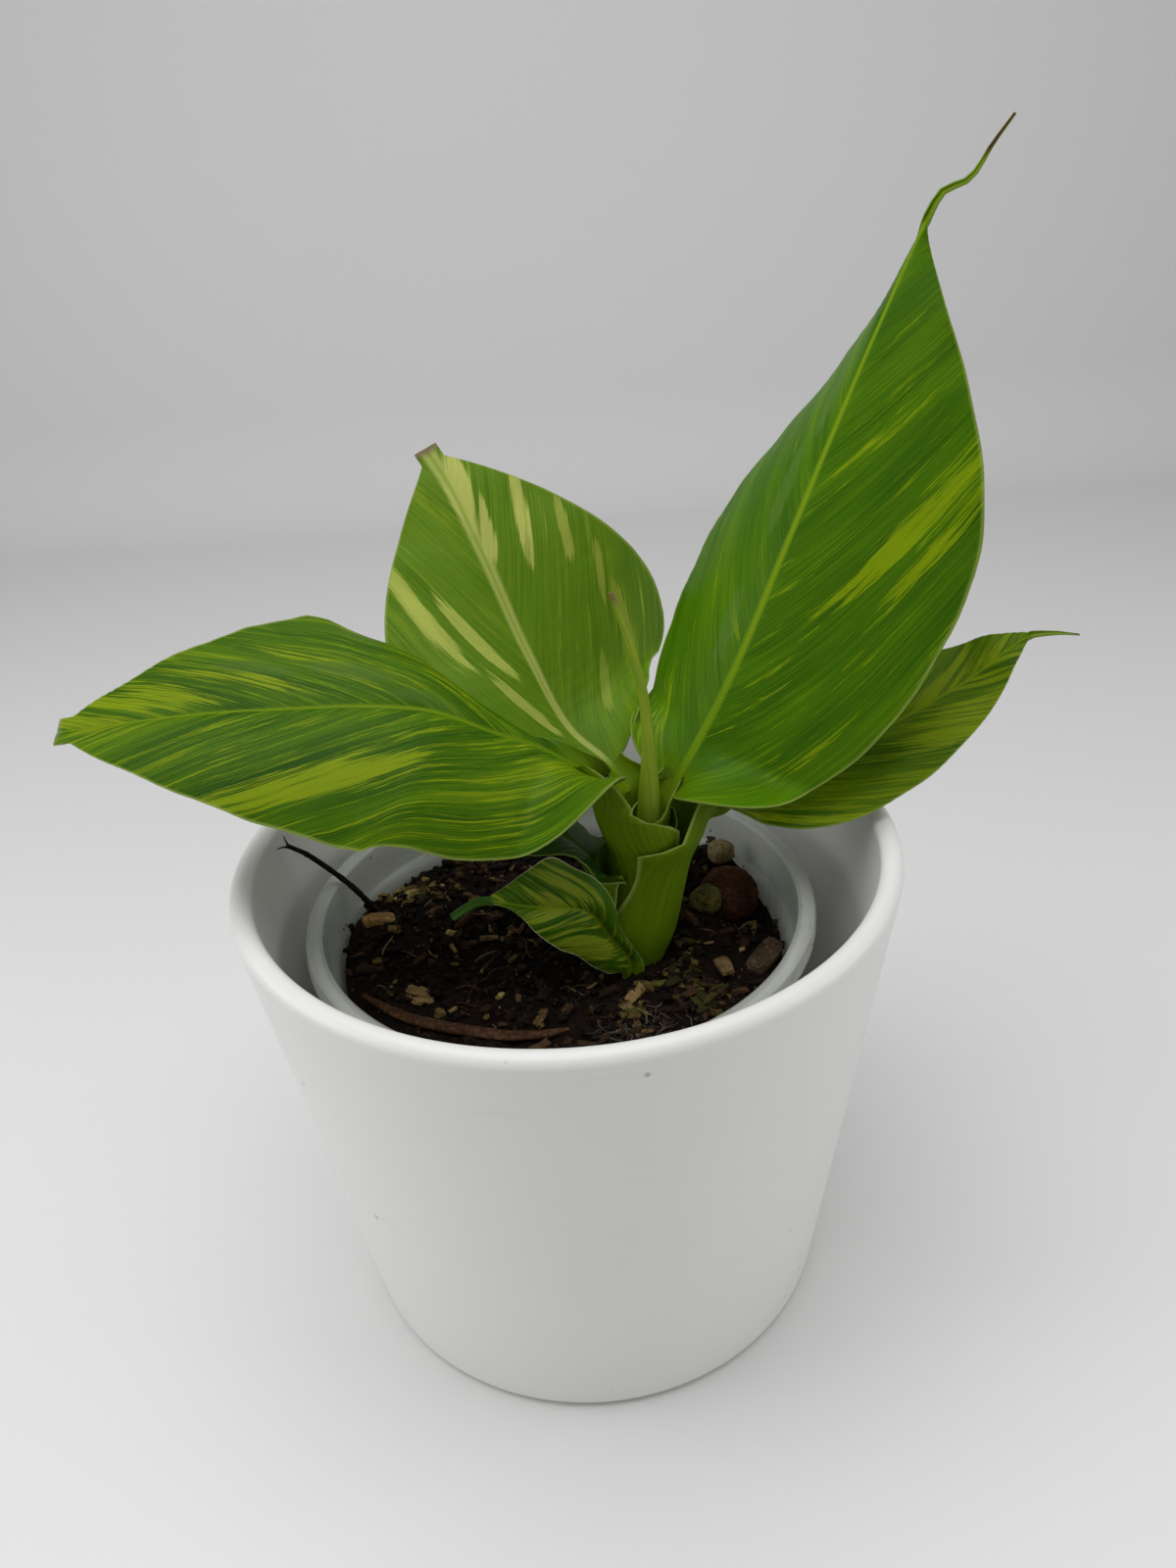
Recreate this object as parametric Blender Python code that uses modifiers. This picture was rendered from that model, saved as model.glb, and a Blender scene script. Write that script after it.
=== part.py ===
"""Young banana plant in a clear nursery pot, standing in a white ceramic cover pot.

Run with: blender --background --python part.py
X points right, Y away from the viewer, Z up. The origin is the centre of the
cover pot's underside. Sizes below are in millimetres, and the meshes in metres.
"""

import math
import random

import bmesh
import bpy
import numpy as np
from mathutils import Euler, Matrix, Vector, noise

MM = 0.001
CLEARANCE = 0.35
ROUND_STEPS = 40

# Cover pot, white matt ceramic.
POT_HEIGHT = 111.7
POT_TOP_RADIUS = 70.0
POT_FOOT_RADIUS = 54.6
POT_WALL = 4.7
POT_FLOOR = 6.0
POT_HEEL_ROUND = 3.5

# Nursery pot, clear thin plastic, a little left of the middle.
NURSERY_X = -2.1
NURSERY_WALL = 0.8
NURSERY_TOP = 96.3
NURSERY_RIM_RADIUS = 55.1
NURSERY_NECK_RADIUS = 52.0
NURSERY_LEDGE_TOP = 86.6
NURSERY_LEDGE = 85.0
NURSERY_LEDGE_RADIUS = 50.0
NURSERY_FOOT_RADIUS = 41.0
NURSERY_FOOT_HEIGHT = 9.0
DRAIN_HOLES = 8
DRAIN_RADIUS = 1.9
DRAIN_RING = 30.0

# Soil, heaped at the left and a little hollow in front of the stem.
SOIL_LEVEL = 82.5
SOIL_HEAPS = [(-38, 6, 6.5, 17), (34, 26, 6.5, 13), (-12, 30, 3.0, 18), (4, -30, -2.5, 14),
              (16, -20, 1.0, 9), (29, 1, 7.2, 6), (38, 9, -2.0, 8)]
SOIL_LUMP = 1.7
SOIL_RINGS = 10
SOIL_STEPS = 40
CHIP_COUNT = 36
CHIP_SEED = 11
LUMP_NOISE = 0.12

# Stem: leaf sheaths rolled one round the other, on a corm in the soil.
STEM_AXIS = [(13.0, -2.5, 60), (13.0, -2.5, 80), (14.5, -2.0, 90), (16.6, -1.2, 101),
             (17.6, -0.6, 112), (18.4, 0.0, 121)]
CORM_TOP = 73.0
CORM_BOTTOM = 57.0
CORM_RADIUS = 8.8
CORM_STEPS = 20
STEM_HOLE_RADIUS = 10.2
RING_FIRST = 1.1
RING_STEP = 1.2
RING_FLARE = [1.6, 2.4, 4.6, 5.2, 5.8, 6.4]
STEM_SPREAD = [(60, 0.0), (81, 0.0), (90, 0.38), (101, 0.46), (107, 0.60), (114, 1.0), (122, 1.2)]
SHEATH_LEVELS = [80.0, 86.0, 92.0, 98.0, 104.0, 109.0]

# The rolled new leaf: heights above its foot with radii, then the places and radii of its tip.
SPEAR_FOOT = [(0.0, 1.6), (8.0, 1.8), (17.0, 1.9), (28.0, 2.0)]
SPEAR_TIP = [(17.6, -0.8, 110, 2.2), (18.0, -1.4, 120, 2.0), (18.4, -1.2, 132, 2.0),
             (17.7, -0.4, 144, 1.6), (15.6, 0.2, 154, 1.1), (12.4, 0.4, 165, 0.5)]
SPEAR_POINTS = 26

BLADE_THICK = 0.65
RIB_THICK = 2.4
OPEN_ROWS = 4
DRIP_ROWS = 4
SIDE_COLUMNS = 6
LEAN_BELOW = 8.0
CHANNEL_SHARE = 0.08
CHANNEL_RIB_ANGLE = 8.0
CURL_FROM = 0.95
CURL_ANGLES = (20.0, 70.0)

# Each leaf: its sheath's place in the roll and how far round it goes on either side, closed and
# where it opens, the heights between which it opens, and how far it leans out there; then the
# midrib's route after the sheath and the way its upper face looks at even steps along that route,
# the shares of the route where the blade starts and ends, how far its sides sweep forward, the
# stalk's half widths, the half width of the tip and the rows of the blade. Each side of the blade
# has its greatest half width, where along the blade that lies, how full it is beside that place,
# how far its base lobe reaches back, how full its base and how drawn out its tip is, the angle in
# degrees of its edge at the stalk's channel, and the angles at which it leaves the midrib and ends
# at its edge (at the base, the middle and the tip of the blade).
LEAVES = {
    "leaf_tall_right": dict(
        colour=(0.09, 0.27, 0.02),
        ring=1, azimuth=35, wrap=(150, 140), open_wrap=(70, 70), opens=114, leaves=118, lean=0,
        midrib=[(25.6, 3.6, 124), (36.2, 7, 143), (47.6, 12, 167.5), (57.6, 17, 189),
                (67, 21, 209), (75.2, 25, 224.4), (78, 25.5, 229), (83, 26.5, 230.8),
                (87.5, 28, 236.5), (91.3, 29, 241)],
        faces=[(-0.7, -0.58, 0.3), (-0.69, -0.6, 0.4), (-0.69, -0.6, 0.4), (-0.6, -0.7, 0.35),
               (-0.3, -0.9, 0.3)],
        blade_from=0.05, blade_to=0.84, sweep=0.10, stalk=(3.6, 3.6), tip_width=0.8, rows=15,
        left=dict(width=30, widest=0.42, belly=1, lobe=3, base=0.54, point=1.25, cup=75,
                  rib=(0, -5, -50), edge=(-15, -52, -80)),
        right=dict(width=36.6, widest=0.45, belly=1, lobe=5, base=0.45, point=1.3, cup=75,
                   rib=(-20, -20, -20), edge=(-40, -40, -30)),
    ),
    "leaf_back": dict(
        colour=(0.10, 0.25, 0.03),
        ring=2, azimuth=125, wrap=(140, 140), open_wrap=(70, 60), opens=113, leaves=119, lean=0,
        midrib=[(10.5, 9.8, 123.5), (3.1, 16.5, 128.2), (-5.3, 26.5, 142.3),
                (-14.5, 38.5, 163.6), (-21.1, 46.5, 177.1), (-25.4, 51, 183.2)],
        faces=[(0.5, -0.75, 0.3), (0.2, -0.85, 0.45), (0.1, -0.85, 0.5), (0.1, -0.8, 0.55)],
        blade_from=0.08, blade_to=1.0, sweep=0.12, stalk=(3.6, 3.6), tip_width=2.8, rows=15,
        left=dict(width=29.8, widest=0.4, belly=1, lobe=0, base=1.5, point=1.12, cup=75,
                  rib=(15, 12, 5), edge=(-10, -15, -10)),
        right=dict(width=36.2, widest=0.37, belly=1, lobe=0, base=0.66, point=1.25, cup=75,
                   rib=(15, 12, 5), edge=(-10, -15, -10)),
    ),
    "leaf_left": dict(
        colour=(0.10, 0.30, 0.02),
        ring=3, azimuth=185, wrap=(130, 105), open_wrap=(70, 42), opens=116, leaves=120.5, lean=1.6,
        midrib=[(6.0, -1.8, 126), (-1.8, -2, 133.2), (-13.1, -3, 139.3), (-24, -4, 144.9),
                (-35, -5, 147.2), (-50, -6, 148.3), (-68.6, -7, 148.9), (-83.5, -8, 148.4),
                (-95.2, -8.5, 147.6)],
        faces=[(0.9, -0.2, 0.4), (0.45, -0.3, 0.85), (0.1, -0.25, 0.95), (0.0, -0.25, 0.95),
               (0.0, -0.25, 0.95)],
        blade_from=0.09, blade_to=1.0, sweep=0.10, stalk=(3.8, 3.8), tip_width=3.6, rows=15,
        left=dict(width=31.2, widest=0.4, belly=0.5, lobe=9, base=0.25, point=0.84, cup=75,
                  rib=(0, 0, 5), edge=(-45, -40, -10)),
        right=dict(width=25.4, widest=0.55, belly=0.3, lobe=0, base=1.1, point=0.76, cup=75,
                   rib=(18, 22, 12), edge=(-85, -4, 0)),
    ),
    "leaf_low_right": dict(
        colour=(0.12, 0.30, 0.02),
        ring=4, azimuth=12, wrap=(125, 120), open_wrap=(70, 70), opens=111, leaves=113.8, lean=0.5,
        midrib=[(37, 4.4, 117), (52, 8, 120.3), (70.2, 12, 126.5), (79.6, 14, 130.5),
                (89.5, 16, 135.3), (95.8, 17, 139.9), (100.9, 18, 142.7), (107.1, 19, 142.8),
                (113.3, 20, 141.7)],
        faces=[(-0.5, -0.3, 0.8), (-0.25, -0.3, 0.9), (-0.25, -0.3, 0.9), (-0.3, -0.3, 0.9)],
        blade_from=0.06, blade_to=0.88, sweep=0.10, stalk=(3.6, 3.6), tip_width=0.9, rows=15,
        left=dict(width=17.5, widest=0.42, belly=1, lobe=0, base=0.6, point=0.9, cup=75,
                  rib=(5, 8, 5), edge=(0, 0, 5)),
        right=dict(width=16.0, widest=0.36, belly=1, lobe=4, base=0.65, point=1.05, cup=75,
                   rib=(-5, -5, 0), edge=(-30, -30, -15)),
    ),
    "leaf_under_left": dict(
        colour=(0.06, 0.20, 0.02),
        ring=5, azimuth=190, wrap=(40, 105), open_wrap=(40, 50), opens=92, leaves=102, lean=0,
        midrib=[(4.8, -3.2, 108.5), (-1, -2.8, 114), (-11, -2.4, 117.5), (-21, -3, 116.5),
                (-27, -4, 113.5)],
        faces=[(0.9, 0.1, 0.3), (0.6, -0.5, 0.6), (0.3, -0.6, 0.75), (0.0, -0.4, 0.9)],
        blade_from=0.06, blade_to=0.88, sweep=0.04, stalk=(8.0, 8.0), tip_width=0.7, rows=9,
        left=dict(width=7.5, widest=0.4, belly=1, lobe=3, base=0.4, point=0.9, cup=60,
                  rib=(10, 10, 10), edge=(-20, -20, 0)),
        right=dict(width=13.5, widest=0.3, belly=1, lobe=3, base=0.3, point=0.9, cup=60,
                   rib=(15, 15, 10), edge=(0, 0, 0)),
    ),
}

# The small leaf at the foot: its two margins and its midrib are routes of their own, from the
# corm to the end of the blade, and the midrib's last points are its drip tip.
SMALL_LEAF = dict(
    colour=(0.12, 0.28, 0.03), rows=22, tip_rows=4, tip_width=0.7, bulge=(0.0, 1.0, 0.0),
    left=[(9.4, -10.6, 73.4), (9.8, -11.0, 78.5), (10.4, -12.3, 83.9), (7.5, -14.6, 86.0),
          (4.0, -16.2, 89.4), (0.9, -17.8, 93.7), (-2.0, -19.2, 96.2), (-4.4, -20.2, 99.1),
          (-6.9, -20.8, 102.4), (-9.2, -20.8, 105.9), (-11.5, -20.8, 108.3),
          (-14.4, -21.3, 110.2)],
    midrib=[(11.8, -11.0, 73.4), (12.2, -11.2, 79.5), (12.6, -11.8, 85.2), (11.0, -12.3, 89.5),
            (8.1, -13.2, 94.7), (5.3, -14.3, 100.4), (2.4, -15.3, 103.2), (-1.2, -16.4, 104.7),
            (-4.8, -17.5, 105.9), (-8.5, -18.6, 107.3), (-12.0, -19.9, 109.2),
            (-14.8, -21.0, 110.6)],
    right=[(14.2, -11.1, 73.4), (14.6, -11.2, 79.8), (15.1, -11.5, 85.4), (13.1, -11.9, 90.3),
           (10.6, -12.3, 95.6), (9.1, -12.2, 103.1), (6.0, -11.6, 108.0), (1.6, -11.3, 111.0),
           (-2.8, -12.0, 114.3), (-7.0, -14.6, 113.6), (-11.4, -17.4, 112.0),
           (-15.1, -20.2, 111.3)],
    tip=[(-14.8, -21.0, 110.6), (-17.4, -21.6, 111.0), (-20.0, -22.0, 110.0),
         (-22.9, -22.6, 108.3)],
)

# Loose lumps lying on the soil: the place of each one's middle, half sizes, tilt in degrees
# about X, Y and Z, how square it is (1 is round), and its colour.
LOOSE_LUMPS = {
    "clay_pebble": dict(at=(36.4, 12.6, 85.6), half=(6.9, 6.9, 6.7), tilt=(0, 0, 0), square=1.0,
                        steps=3, colour=(0.17, 0.07, 0.03)),
    "pumice_grain": dict(at=(30.3, 4.8, 89.9), half=(3.7, 3.3, 3.5), tilt=(20, 0, 20), square=1.0,
                         steps=2, colour=(0.24, 0.18, 0.08)),
    "tan_stone": dict(at=(36.0, 23.0, 90.9), half=(3.1, 2.7, 2.8), tilt=(0, 10, 30), square=0.8,
                      steps=2, colour=(0.45, 0.36, 0.20)),
    "dark_bark_piece": dict(at=(41.2, -10.0, 84.2), half=(5.0, 2.3, 1.7), tilt=(12, -8, 50),
                            square=0.5, steps=2, colour=(0.10, 0.07, 0.04)),
    "wood_chip": dict(at=(32.2, -11.9, 84.0), half=(3.8, 1.6, 0.8), tilt=(10, -12, -80),
                      square=0.5, steps=2, colour=(0.30, 0.21, 0.10)),
    "tan_bark_piece": dict(at=(-43.6, 6.8, 88.6), half=(3.6, 2.0, 1.4), tilt=(0, 8, 15),
                           square=0.5, steps=2, colour=(0.36, 0.22, 0.08)),
}

# Loose strands: the route with each point's radius, and how far it is pressed flat.
LOOSE_STRANDS = {
    "bark_splinter": dict(route=[(-45.0, -14.6, 84.6, 0.6), (-34.0, -22.6, 83.9, 1.4),
                                 (-17.5, -27.6, 82.7, 1.5), (-8.0, -27.9, 82.0, 1.2),
                                 (-1.5, -27.0, 82.2, 0.5)],
                          flat=0.55, points=16, colour=(0.13, 0.05, 0.03)),
    "black_twig": dict(route=[(-44.9, 12.6, 87.0, 0.7), (-48.6, 12.4, 93.4, 0.7),
                              (-52.7, 12.2, 98.6, 0.65), (-57.8, 11.2, 104.6, 0.6),
                              (-61.4, 9.2, 108.6, 0.45)],
                       flat=1.0, points=12, colour=(0.015, 0.012, 0.01)),
}


def clear_scene():
    for obj in list(bpy.data.objects):
        bpy.data.objects.remove(obj)
    for collection in list(bpy.data.collections):
        bpy.data.collections.remove(collection)


def new_collection(name):
    collection = bpy.data.collections.new(name)
    bpy.context.scene.collection.children.link(collection)
    return collection


def material(name, colour, roughness, metallic=0.0, alpha=1.0):
    mat = bpy.data.materials.new(name)
    mat.use_nodes = True
    shader = mat.node_tree.nodes["Principled BSDF"]
    shader.inputs["Base Color"].default_value = (*colour, 1.0)
    shader.inputs["Roughness"].default_value = roughness
    shader.inputs["Metallic"].default_value = metallic
    shader.inputs["Alpha"].default_value = alpha
    mat.diffuse_color = (*colour, alpha)
    return mat


def add_mesh_object(name, mesh, collection, mat):
    obj = bpy.data.objects.new(name, mesh)
    collection.objects.link(obj)
    if mat:
        obj.data.materials.append(mat)
    return obj


def hermite(knots, values, at):
    """A smooth curve through the values at the knots, read at one place."""
    knots = np.asarray(knots, float)
    values = np.asarray(values, float)
    slopes = np.gradient(values, knots, axis=0)
    i = int(np.clip(np.searchsorted(knots, at) - 1, 0, len(knots) - 2))
    span = knots[i + 1] - knots[i]
    t = (at - knots[i]) / span
    return ((2 * t**3 - 3 * t**2 + 1) * values[i] + (t**3 - 2 * t**2 + t) * span * slopes[i]
            + (3 * t**2 - 2 * t**3) * values[i + 1] + (t**3 - t**2) * span * slopes[i + 1])


def unit(vector):
    vector = np.asarray(vector, float)
    return vector / np.linalg.norm(vector)


def ease(x):
    x = min(max(x, 0.0), 1.0)
    return x * x * (3 - 2 * x)


def stem_axis(z):
    heights = [p[2] for p in STEM_AXIS]
    return hermite(heights, STEM_AXIS, z)


def stem_direction(z):
    return unit(stem_axis(z + 0.5) - stem_axis(z - 0.5))


def ring_radius(ring, z):
    spread = hermite([p[0] for p in STEM_SPREAD], [p[1] for p in STEM_SPREAD], z)
    return RING_FIRST + ring * RING_STEP + spread * RING_FLARE[ring - 1]


def turned(name, profile, steps, collection, mat):
    """A solid or a surface turned about Z from a profile of (radius, height) points."""
    mesh = bpy.data.meshes.new(name)
    points = [(r * MM, 0, z * MM) for r, z in profile]
    mesh.from_pydata(points, [(i, i + 1) for i in range(len(points) - 1)], [])
    obj = add_mesh_object(name, mesh, collection, mat)
    screw = obj.modifiers.new("Turn", "SCREW")
    screw.steps = screw.render_steps = steps
    screw.use_merge_vertices = True
    screw.merge_threshold = 0.00001
    screw.use_smooth_shade = False
    return obj


def arc(centre, radius, start, end, count):
    """Points on a quarter or part circle, angles in degrees from +X towards +Z."""
    angles = [math.radians(start + (end - start) * i / count) for i in range(count + 1)]
    return [(centre[0] + radius * math.cos(a), centre[1] + radius * math.sin(a)) for a in angles]


def make_cover_pot(collection):
    """One turned solid: flat underside, rounded heel, tapered wall and rounded lip."""
    slope = (POT_TOP_RADIUS - POT_FOOT_RADIUS) / POT_HEIGHT
    lip_centre = POT_TOP_RADIUS - POT_WALL / 2
    lip_round = POT_WALL / 2
    inner_foot = POT_FOOT_RADIUS + slope * POT_FLOOR - POT_WALL
    profile = [(0, POT_FLOOR), (inner_foot - 4, POT_FLOOR)]
    profile += arc((inner_foot - 4, POT_FLOOR + 4), 4, -60, 0, 2)
    profile += arc((lip_centre, POT_HEIGHT - lip_round), lip_round, 180, 0, 6)
    profile += arc((POT_FOOT_RADIUS - POT_HEEL_ROUND + 0.5, POT_HEEL_ROUND), POT_HEEL_ROUND,
                   -8, -90, 4)
    profile += [(0, 0)]
    white = material("white_ceramic", (0.86, 0.86, 0.86), 0.45)
    return turned("cover_pot", profile, ROUND_STEPS, collection, white)


def nursery_profile():
    """The outer side of the clear pot, from the turned-down rim to the middle of its floor."""
    top = NURSERY_TOP - NURSERY_WALL
    floor = POT_FLOOR + CLEARANCE
    return [
        (NURSERY_RIM_RADIUS - NURSERY_WALL + 0.2, top - 3.2),
        (NURSERY_RIM_RADIUS - NURSERY_WALL, top - 0.6),
        (NURSERY_RIM_RADIUS - NURSERY_WALL - 0.6, top),
        (NURSERY_NECK_RADIUS + 0.4, top),
        (NURSERY_NECK_RADIUS, top - 0.5),
        (NURSERY_NECK_RADIUS - 0.4, NURSERY_LEDGE_TOP),
        (NURSERY_LEDGE_RADIUS, NURSERY_LEDGE),
        (NURSERY_FOOT_RADIUS, NURSERY_FOOT_HEIGHT),
        (NURSERY_FOOT_RADIUS - 2.2, floor),
        (0, floor),
    ]


def make_nursery_pot(collection, cutters):
    plastic = material("clear_plastic", (0.85, 0.87, 0.87), 0.2, alpha=0.35)
    pot = turned("nursery_pot", nursery_profile(), ROUND_STEPS, collection, plastic)
    pot.location.x = NURSERY_X * MM
    wall = pot.modifiers.new("Wall", "SOLIDIFY")
    wall.thickness = NURSERY_WALL * MM
    wall.offset = -1
    wall.use_even_offset = True
    for i in range(DRAIN_HOLES):
        turn = 2 * math.pi * (i + 0.5) / DRAIN_HOLES
        bpy.ops.mesh.primitive_cylinder_add(
            vertices=12, radius=DRAIN_RADIUS * MM, depth=8 * MM,
            location=((NURSERY_X + DRAIN_RING * math.cos(turn)) * MM,
                      DRAIN_RING * math.sin(turn) * MM, (POT_FLOOR + 1) * MM))
        as_cutter(bpy.context.object, f"drain_cut_{i}", cutters["drains"])
    cut = pot.modifiers.new("Drains", "BOOLEAN")
    cut.operand_type = "COLLECTION"
    cut.collection = cutters["drains"]
    return pot


def as_cutter(obj, name, collection):
    obj.name = name
    for old in list(obj.users_collection):
        old.objects.unlink(obj)
    collection.objects.link(obj)
    obj.hide_render = True
    obj.display_type = "WIRE"
    return obj


def nursery_inside(z):
    """The clear pot's inner radius at a height below its ledge."""
    slope = (NURSERY_LEDGE_RADIUS - NURSERY_FOOT_RADIUS) / (NURSERY_LEDGE - NURSERY_FOOT_HEIGHT)
    return NURSERY_FOOT_RADIUS + slope * (z - NURSERY_FOOT_HEIGHT) - NURSERY_WALL


def soil_height(x, y):
    height = SOIL_LEVEL
    for hx, hy, lift, reach in SOIL_HEAPS:
        height += lift * math.exp(-((x - hx) ** 2 + (y - hy) ** 2) / reach**2)
    height += SOIL_LUMP * noise.noise(Vector((x * 0.09, y * 0.09, 2.0)))
    height += 0.5 * SOIL_LUMP * noise.noise(Vector((x * 0.25, y * 0.25, 7.0)))
    return height


def bake(obj):
    """Puts an object's evaluated mesh in place of its modifiers."""
    graph = bpy.context.evaluated_depsgraph_get()
    mesh = bpy.data.meshes.new_from_object(obj.evaluated_get(graph))
    obj.modifiers.clear()
    obj.data = mesh
    return obj


def make_soil(collection, cutters):
    edge = nursery_inside(SOIL_LEVEL) - CLEARANCE - 0.3
    below = SOIL_LEVEL - 8
    floor = POT_FLOOR + CLEARANCE + NURSERY_WALL + CLEARANCE
    foot = nursery_inside(NURSERY_FOOT_HEIGHT) - CLEARANCE - 0.3
    profile = [(edge * i / SOIL_RINGS, SOIL_LEVEL) for i in range(SOIL_RINGS + 1)]
    profile += [(nursery_inside(below) - CLEARANCE - 0.3, below), (foot, NURSERY_FOOT_HEIGHT + 1),
                (foot - 2.5, floor), (0, floor)]
    earth = material("potting_soil", (0.035, 0.022, 0.014), 0.95)
    soil = bake(turned("soil", profile, SOIL_STEPS, collection, earth))
    for vertex in soil.data.vertices:
        x, y = vertex.co.x / MM, vertex.co.y / MM
        if vertex.co.z > (SOIL_LEVEL - 1) * MM:
            lift = 1.0 if math.hypot(x, y) < edge - 1 else 0.8
            vertex.co.z += (soil_height(x + NURSERY_X, y) - SOIL_LEVEL) * lift * MM
        vertex.co.x += NURSERY_X * MM
    add_chips(soil, cutters)
    return soil


def loose_places():
    """Where the loose pieces lie on the soil, and how far each reaches."""
    places = [(*lump["at"][:2], max(lump["half"])) for lump in LOOSE_LUMPS.values()]
    for strand in LOOSE_STRANDS.values():
        knots = range(len(strand["route"]))
        for i in range(strand["points"]):
            x, y, _, radius = hermite(knots, strand["route"], i * knots[-1] / (strand["points"] - 1))
            places.append((x, y, radius))
    return places


def add_chips(soil, cutters):
    """Bark and peat crumbs, each sunk half its depth and joined to the soil in one union."""
    rng = random.Random(CHIP_SEED)
    made = 0
    while made < CHIP_COUNT:
        reach = 42 * math.sqrt(rng.random())
        turn = rng.uniform(0, 2 * math.pi)
        x, y = NURSERY_X + reach * math.cos(turn), reach * math.sin(turn)
        size = (rng.uniform(2.0, 5.0), rng.uniform(1.2, 2.4), rng.uniform(0.9, 1.8))
        tilt = Matrix.Rotation(rng.uniform(0, math.pi), 4, "Z") @ Matrix.Rotation(
            rng.uniform(-0.5, 0.5), 4, "Y") @ Matrix.Rotation(rng.uniform(-0.6, 0.6), 4, "X")
        if math.hypot(x - STEM_AXIS[0][0], y - STEM_AXIS[0][1]) < STEM_HOLE_RADIUS + 6.5:
            continue
        if any(math.hypot(x - kx, y - ky) < reach + 5.5 for kx, ky, reach in loose_places()):
            continue
        bm = bmesh.new()
        if made % 2:
            bmesh.ops.create_cube(bm, size=2)
        else:
            bmesh.ops.create_icosphere(bm, subdivisions=1, radius=1)
        place = Matrix.Translation(Vector((x, y, soil_height(x, y) + 0.25)) * MM)
        bm.transform(place @ tilt @ Matrix.Diagonal((*[s * MM for s in size], 1)))
        mesh = bpy.data.meshes.new("crumb")
        bm.to_mesh(mesh)
        bm.free()
        as_cutter(bpy.data.objects.new("crumb", mesh), f"crumb_{made}", cutters["crumbs"])
        made += 1
    join = soil.modifiers.new("Crumbs", "BOOLEAN")
    join.operation = "UNION"
    join.operand_type = "COLLECTION"
    join.collection = cutters["crumbs"]
    bake(soil)
    for crumb in list(cutters["crumbs"].objects):
        bpy.data.objects.remove(crumb)


def cut_soil(soil, cutters):
    """The hole for the corm and the stem, and a dimple round each loose piece."""
    depth = 60.0
    bpy.ops.mesh.primitive_cylinder_add(
        vertices=32, radius=STEM_HOLE_RADIUS * MM, depth=depth * MM,
        location=(STEM_AXIS[0][0] * MM, STEM_AXIS[0][1] * MM,
                  (CORM_BOTTOM - CLEARANCE + depth / 2) * MM))
    as_cutter(bpy.context.object, "stem_hole", cutters["soil_cuts"])
    for name, lump in LOOSE_LUMPS.items():
        dimple = bpy.data.objects.new(f"{name}_dimple", lump_mesh(name, lump, CLEARANCE))
        as_cutter(dimple, dimple.name, cutters["soil_cuts"])
    for name, strand in LOOSE_STRANDS.items():
        dimple = bpy.data.objects.new(f"{name}_dimple", strand_mesh(name, strand, CLEARANCE))
        as_cutter(dimple, dimple.name, cutters["soil_cuts"])
    cut = soil.modifiers.new("Holes", "BOOLEAN")
    cut.operand_type = "COLLECTION"
    cut.collection = cutters["soil_cuts"]


def lump_mesh(name, lump, grow):
    """A rounded or squarish lump, uneven by a little smooth noise."""
    bm = bmesh.new()
    bmesh.ops.create_icosphere(bm, subdivisions=lump["steps"], radius=1)
    for vertex in bm.verts:
        swell = 1 + LUMP_NOISE * noise.noise(vertex.co * 1.3 + Vector((len(name), 0, 0)))
        for axis in range(3):
            share = abs(vertex.co[axis]) ** lump["square"]
            size = lump["half"][axis] * swell + grow
            vertex.co[axis] = math.copysign(share, vertex.co[axis]) * size * MM
    turn = Euler([math.radians(a) for a in lump["tilt"]]).to_matrix().to_4x4()
    bm.transform(Matrix.Translation(Vector(lump["at"]) * MM) @ turn)
    mesh = bpy.data.meshes.new(name)
    bm.to_mesh(mesh)
    bm.free()
    return mesh


def strand_mesh(name, strand, grow):
    """A round tube along its route, pressed flat, as a closed mesh."""
    route = strand["route"]
    curve = bpy.data.curves.new(name, "CURVE")
    curve.dimensions = "3D"
    curve.bevel_depth = MM
    curve.bevel_resolution = 1
    curve.use_fill_caps = True
    line = curve.splines.new("POLY")
    line.points.add(strand["points"] - 1)
    for i, point in enumerate(line.points):
        at = i * (len(route) - 1) / (strand["points"] - 1)
        x, y, z, radius = hermite(range(len(route)), route, at)
        point.co = (x * MM, y * MM, z * MM, 1)
        point.radius = radius + grow
    for end, inner in ((0, 1), (-1, -2)):
        away = (line.points[end].co - line.points[inner].co).normalized()
        line.points[end].co += away * grow * MM
    tube = bpy.data.objects.new(name, curve)
    bpy.context.scene.collection.objects.link(tube)
    mesh = bpy.data.meshes.new_from_object(tube.evaluated_get(bpy.context.evaluated_depsgraph_get()))
    points = [(Vector(point.co[:3]), point.radius) for point in line.points]
    bm = bmesh.new()
    bm.from_mesh(mesh)
    bmesh.ops.remove_doubles(bm, verts=bm.verts, dist=MM / 100)
    for vertex in bm.verts:
        middle, radius = min(points, key=lambda point: (vertex.co - point[0]).length)
        press = ((radius - grow) * strand["flat"] + grow) / radius
        vertex.co.z = middle.z + (vertex.co.z - middle.z) * press
    bmesh.ops.triangulate(bm, faces=bm.faces[:])
    bm.to_mesh(mesh)
    bm.free()
    bpy.data.objects.remove(tube)
    return mesh


def make_loose(collection):
    for name, lump in LOOSE_LUMPS.items():
        rough = material(name, lump["colour"], 0.85)
        add_mesh_object(name, lump_mesh(name, lump, 0), collection, rough)
    for name, strand in LOOSE_STRANDS.items():
        rough = material(name, strand["colour"], 0.85)
        add_mesh_object(name, strand_mesh(name, strand, 0), collection, rough)


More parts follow.
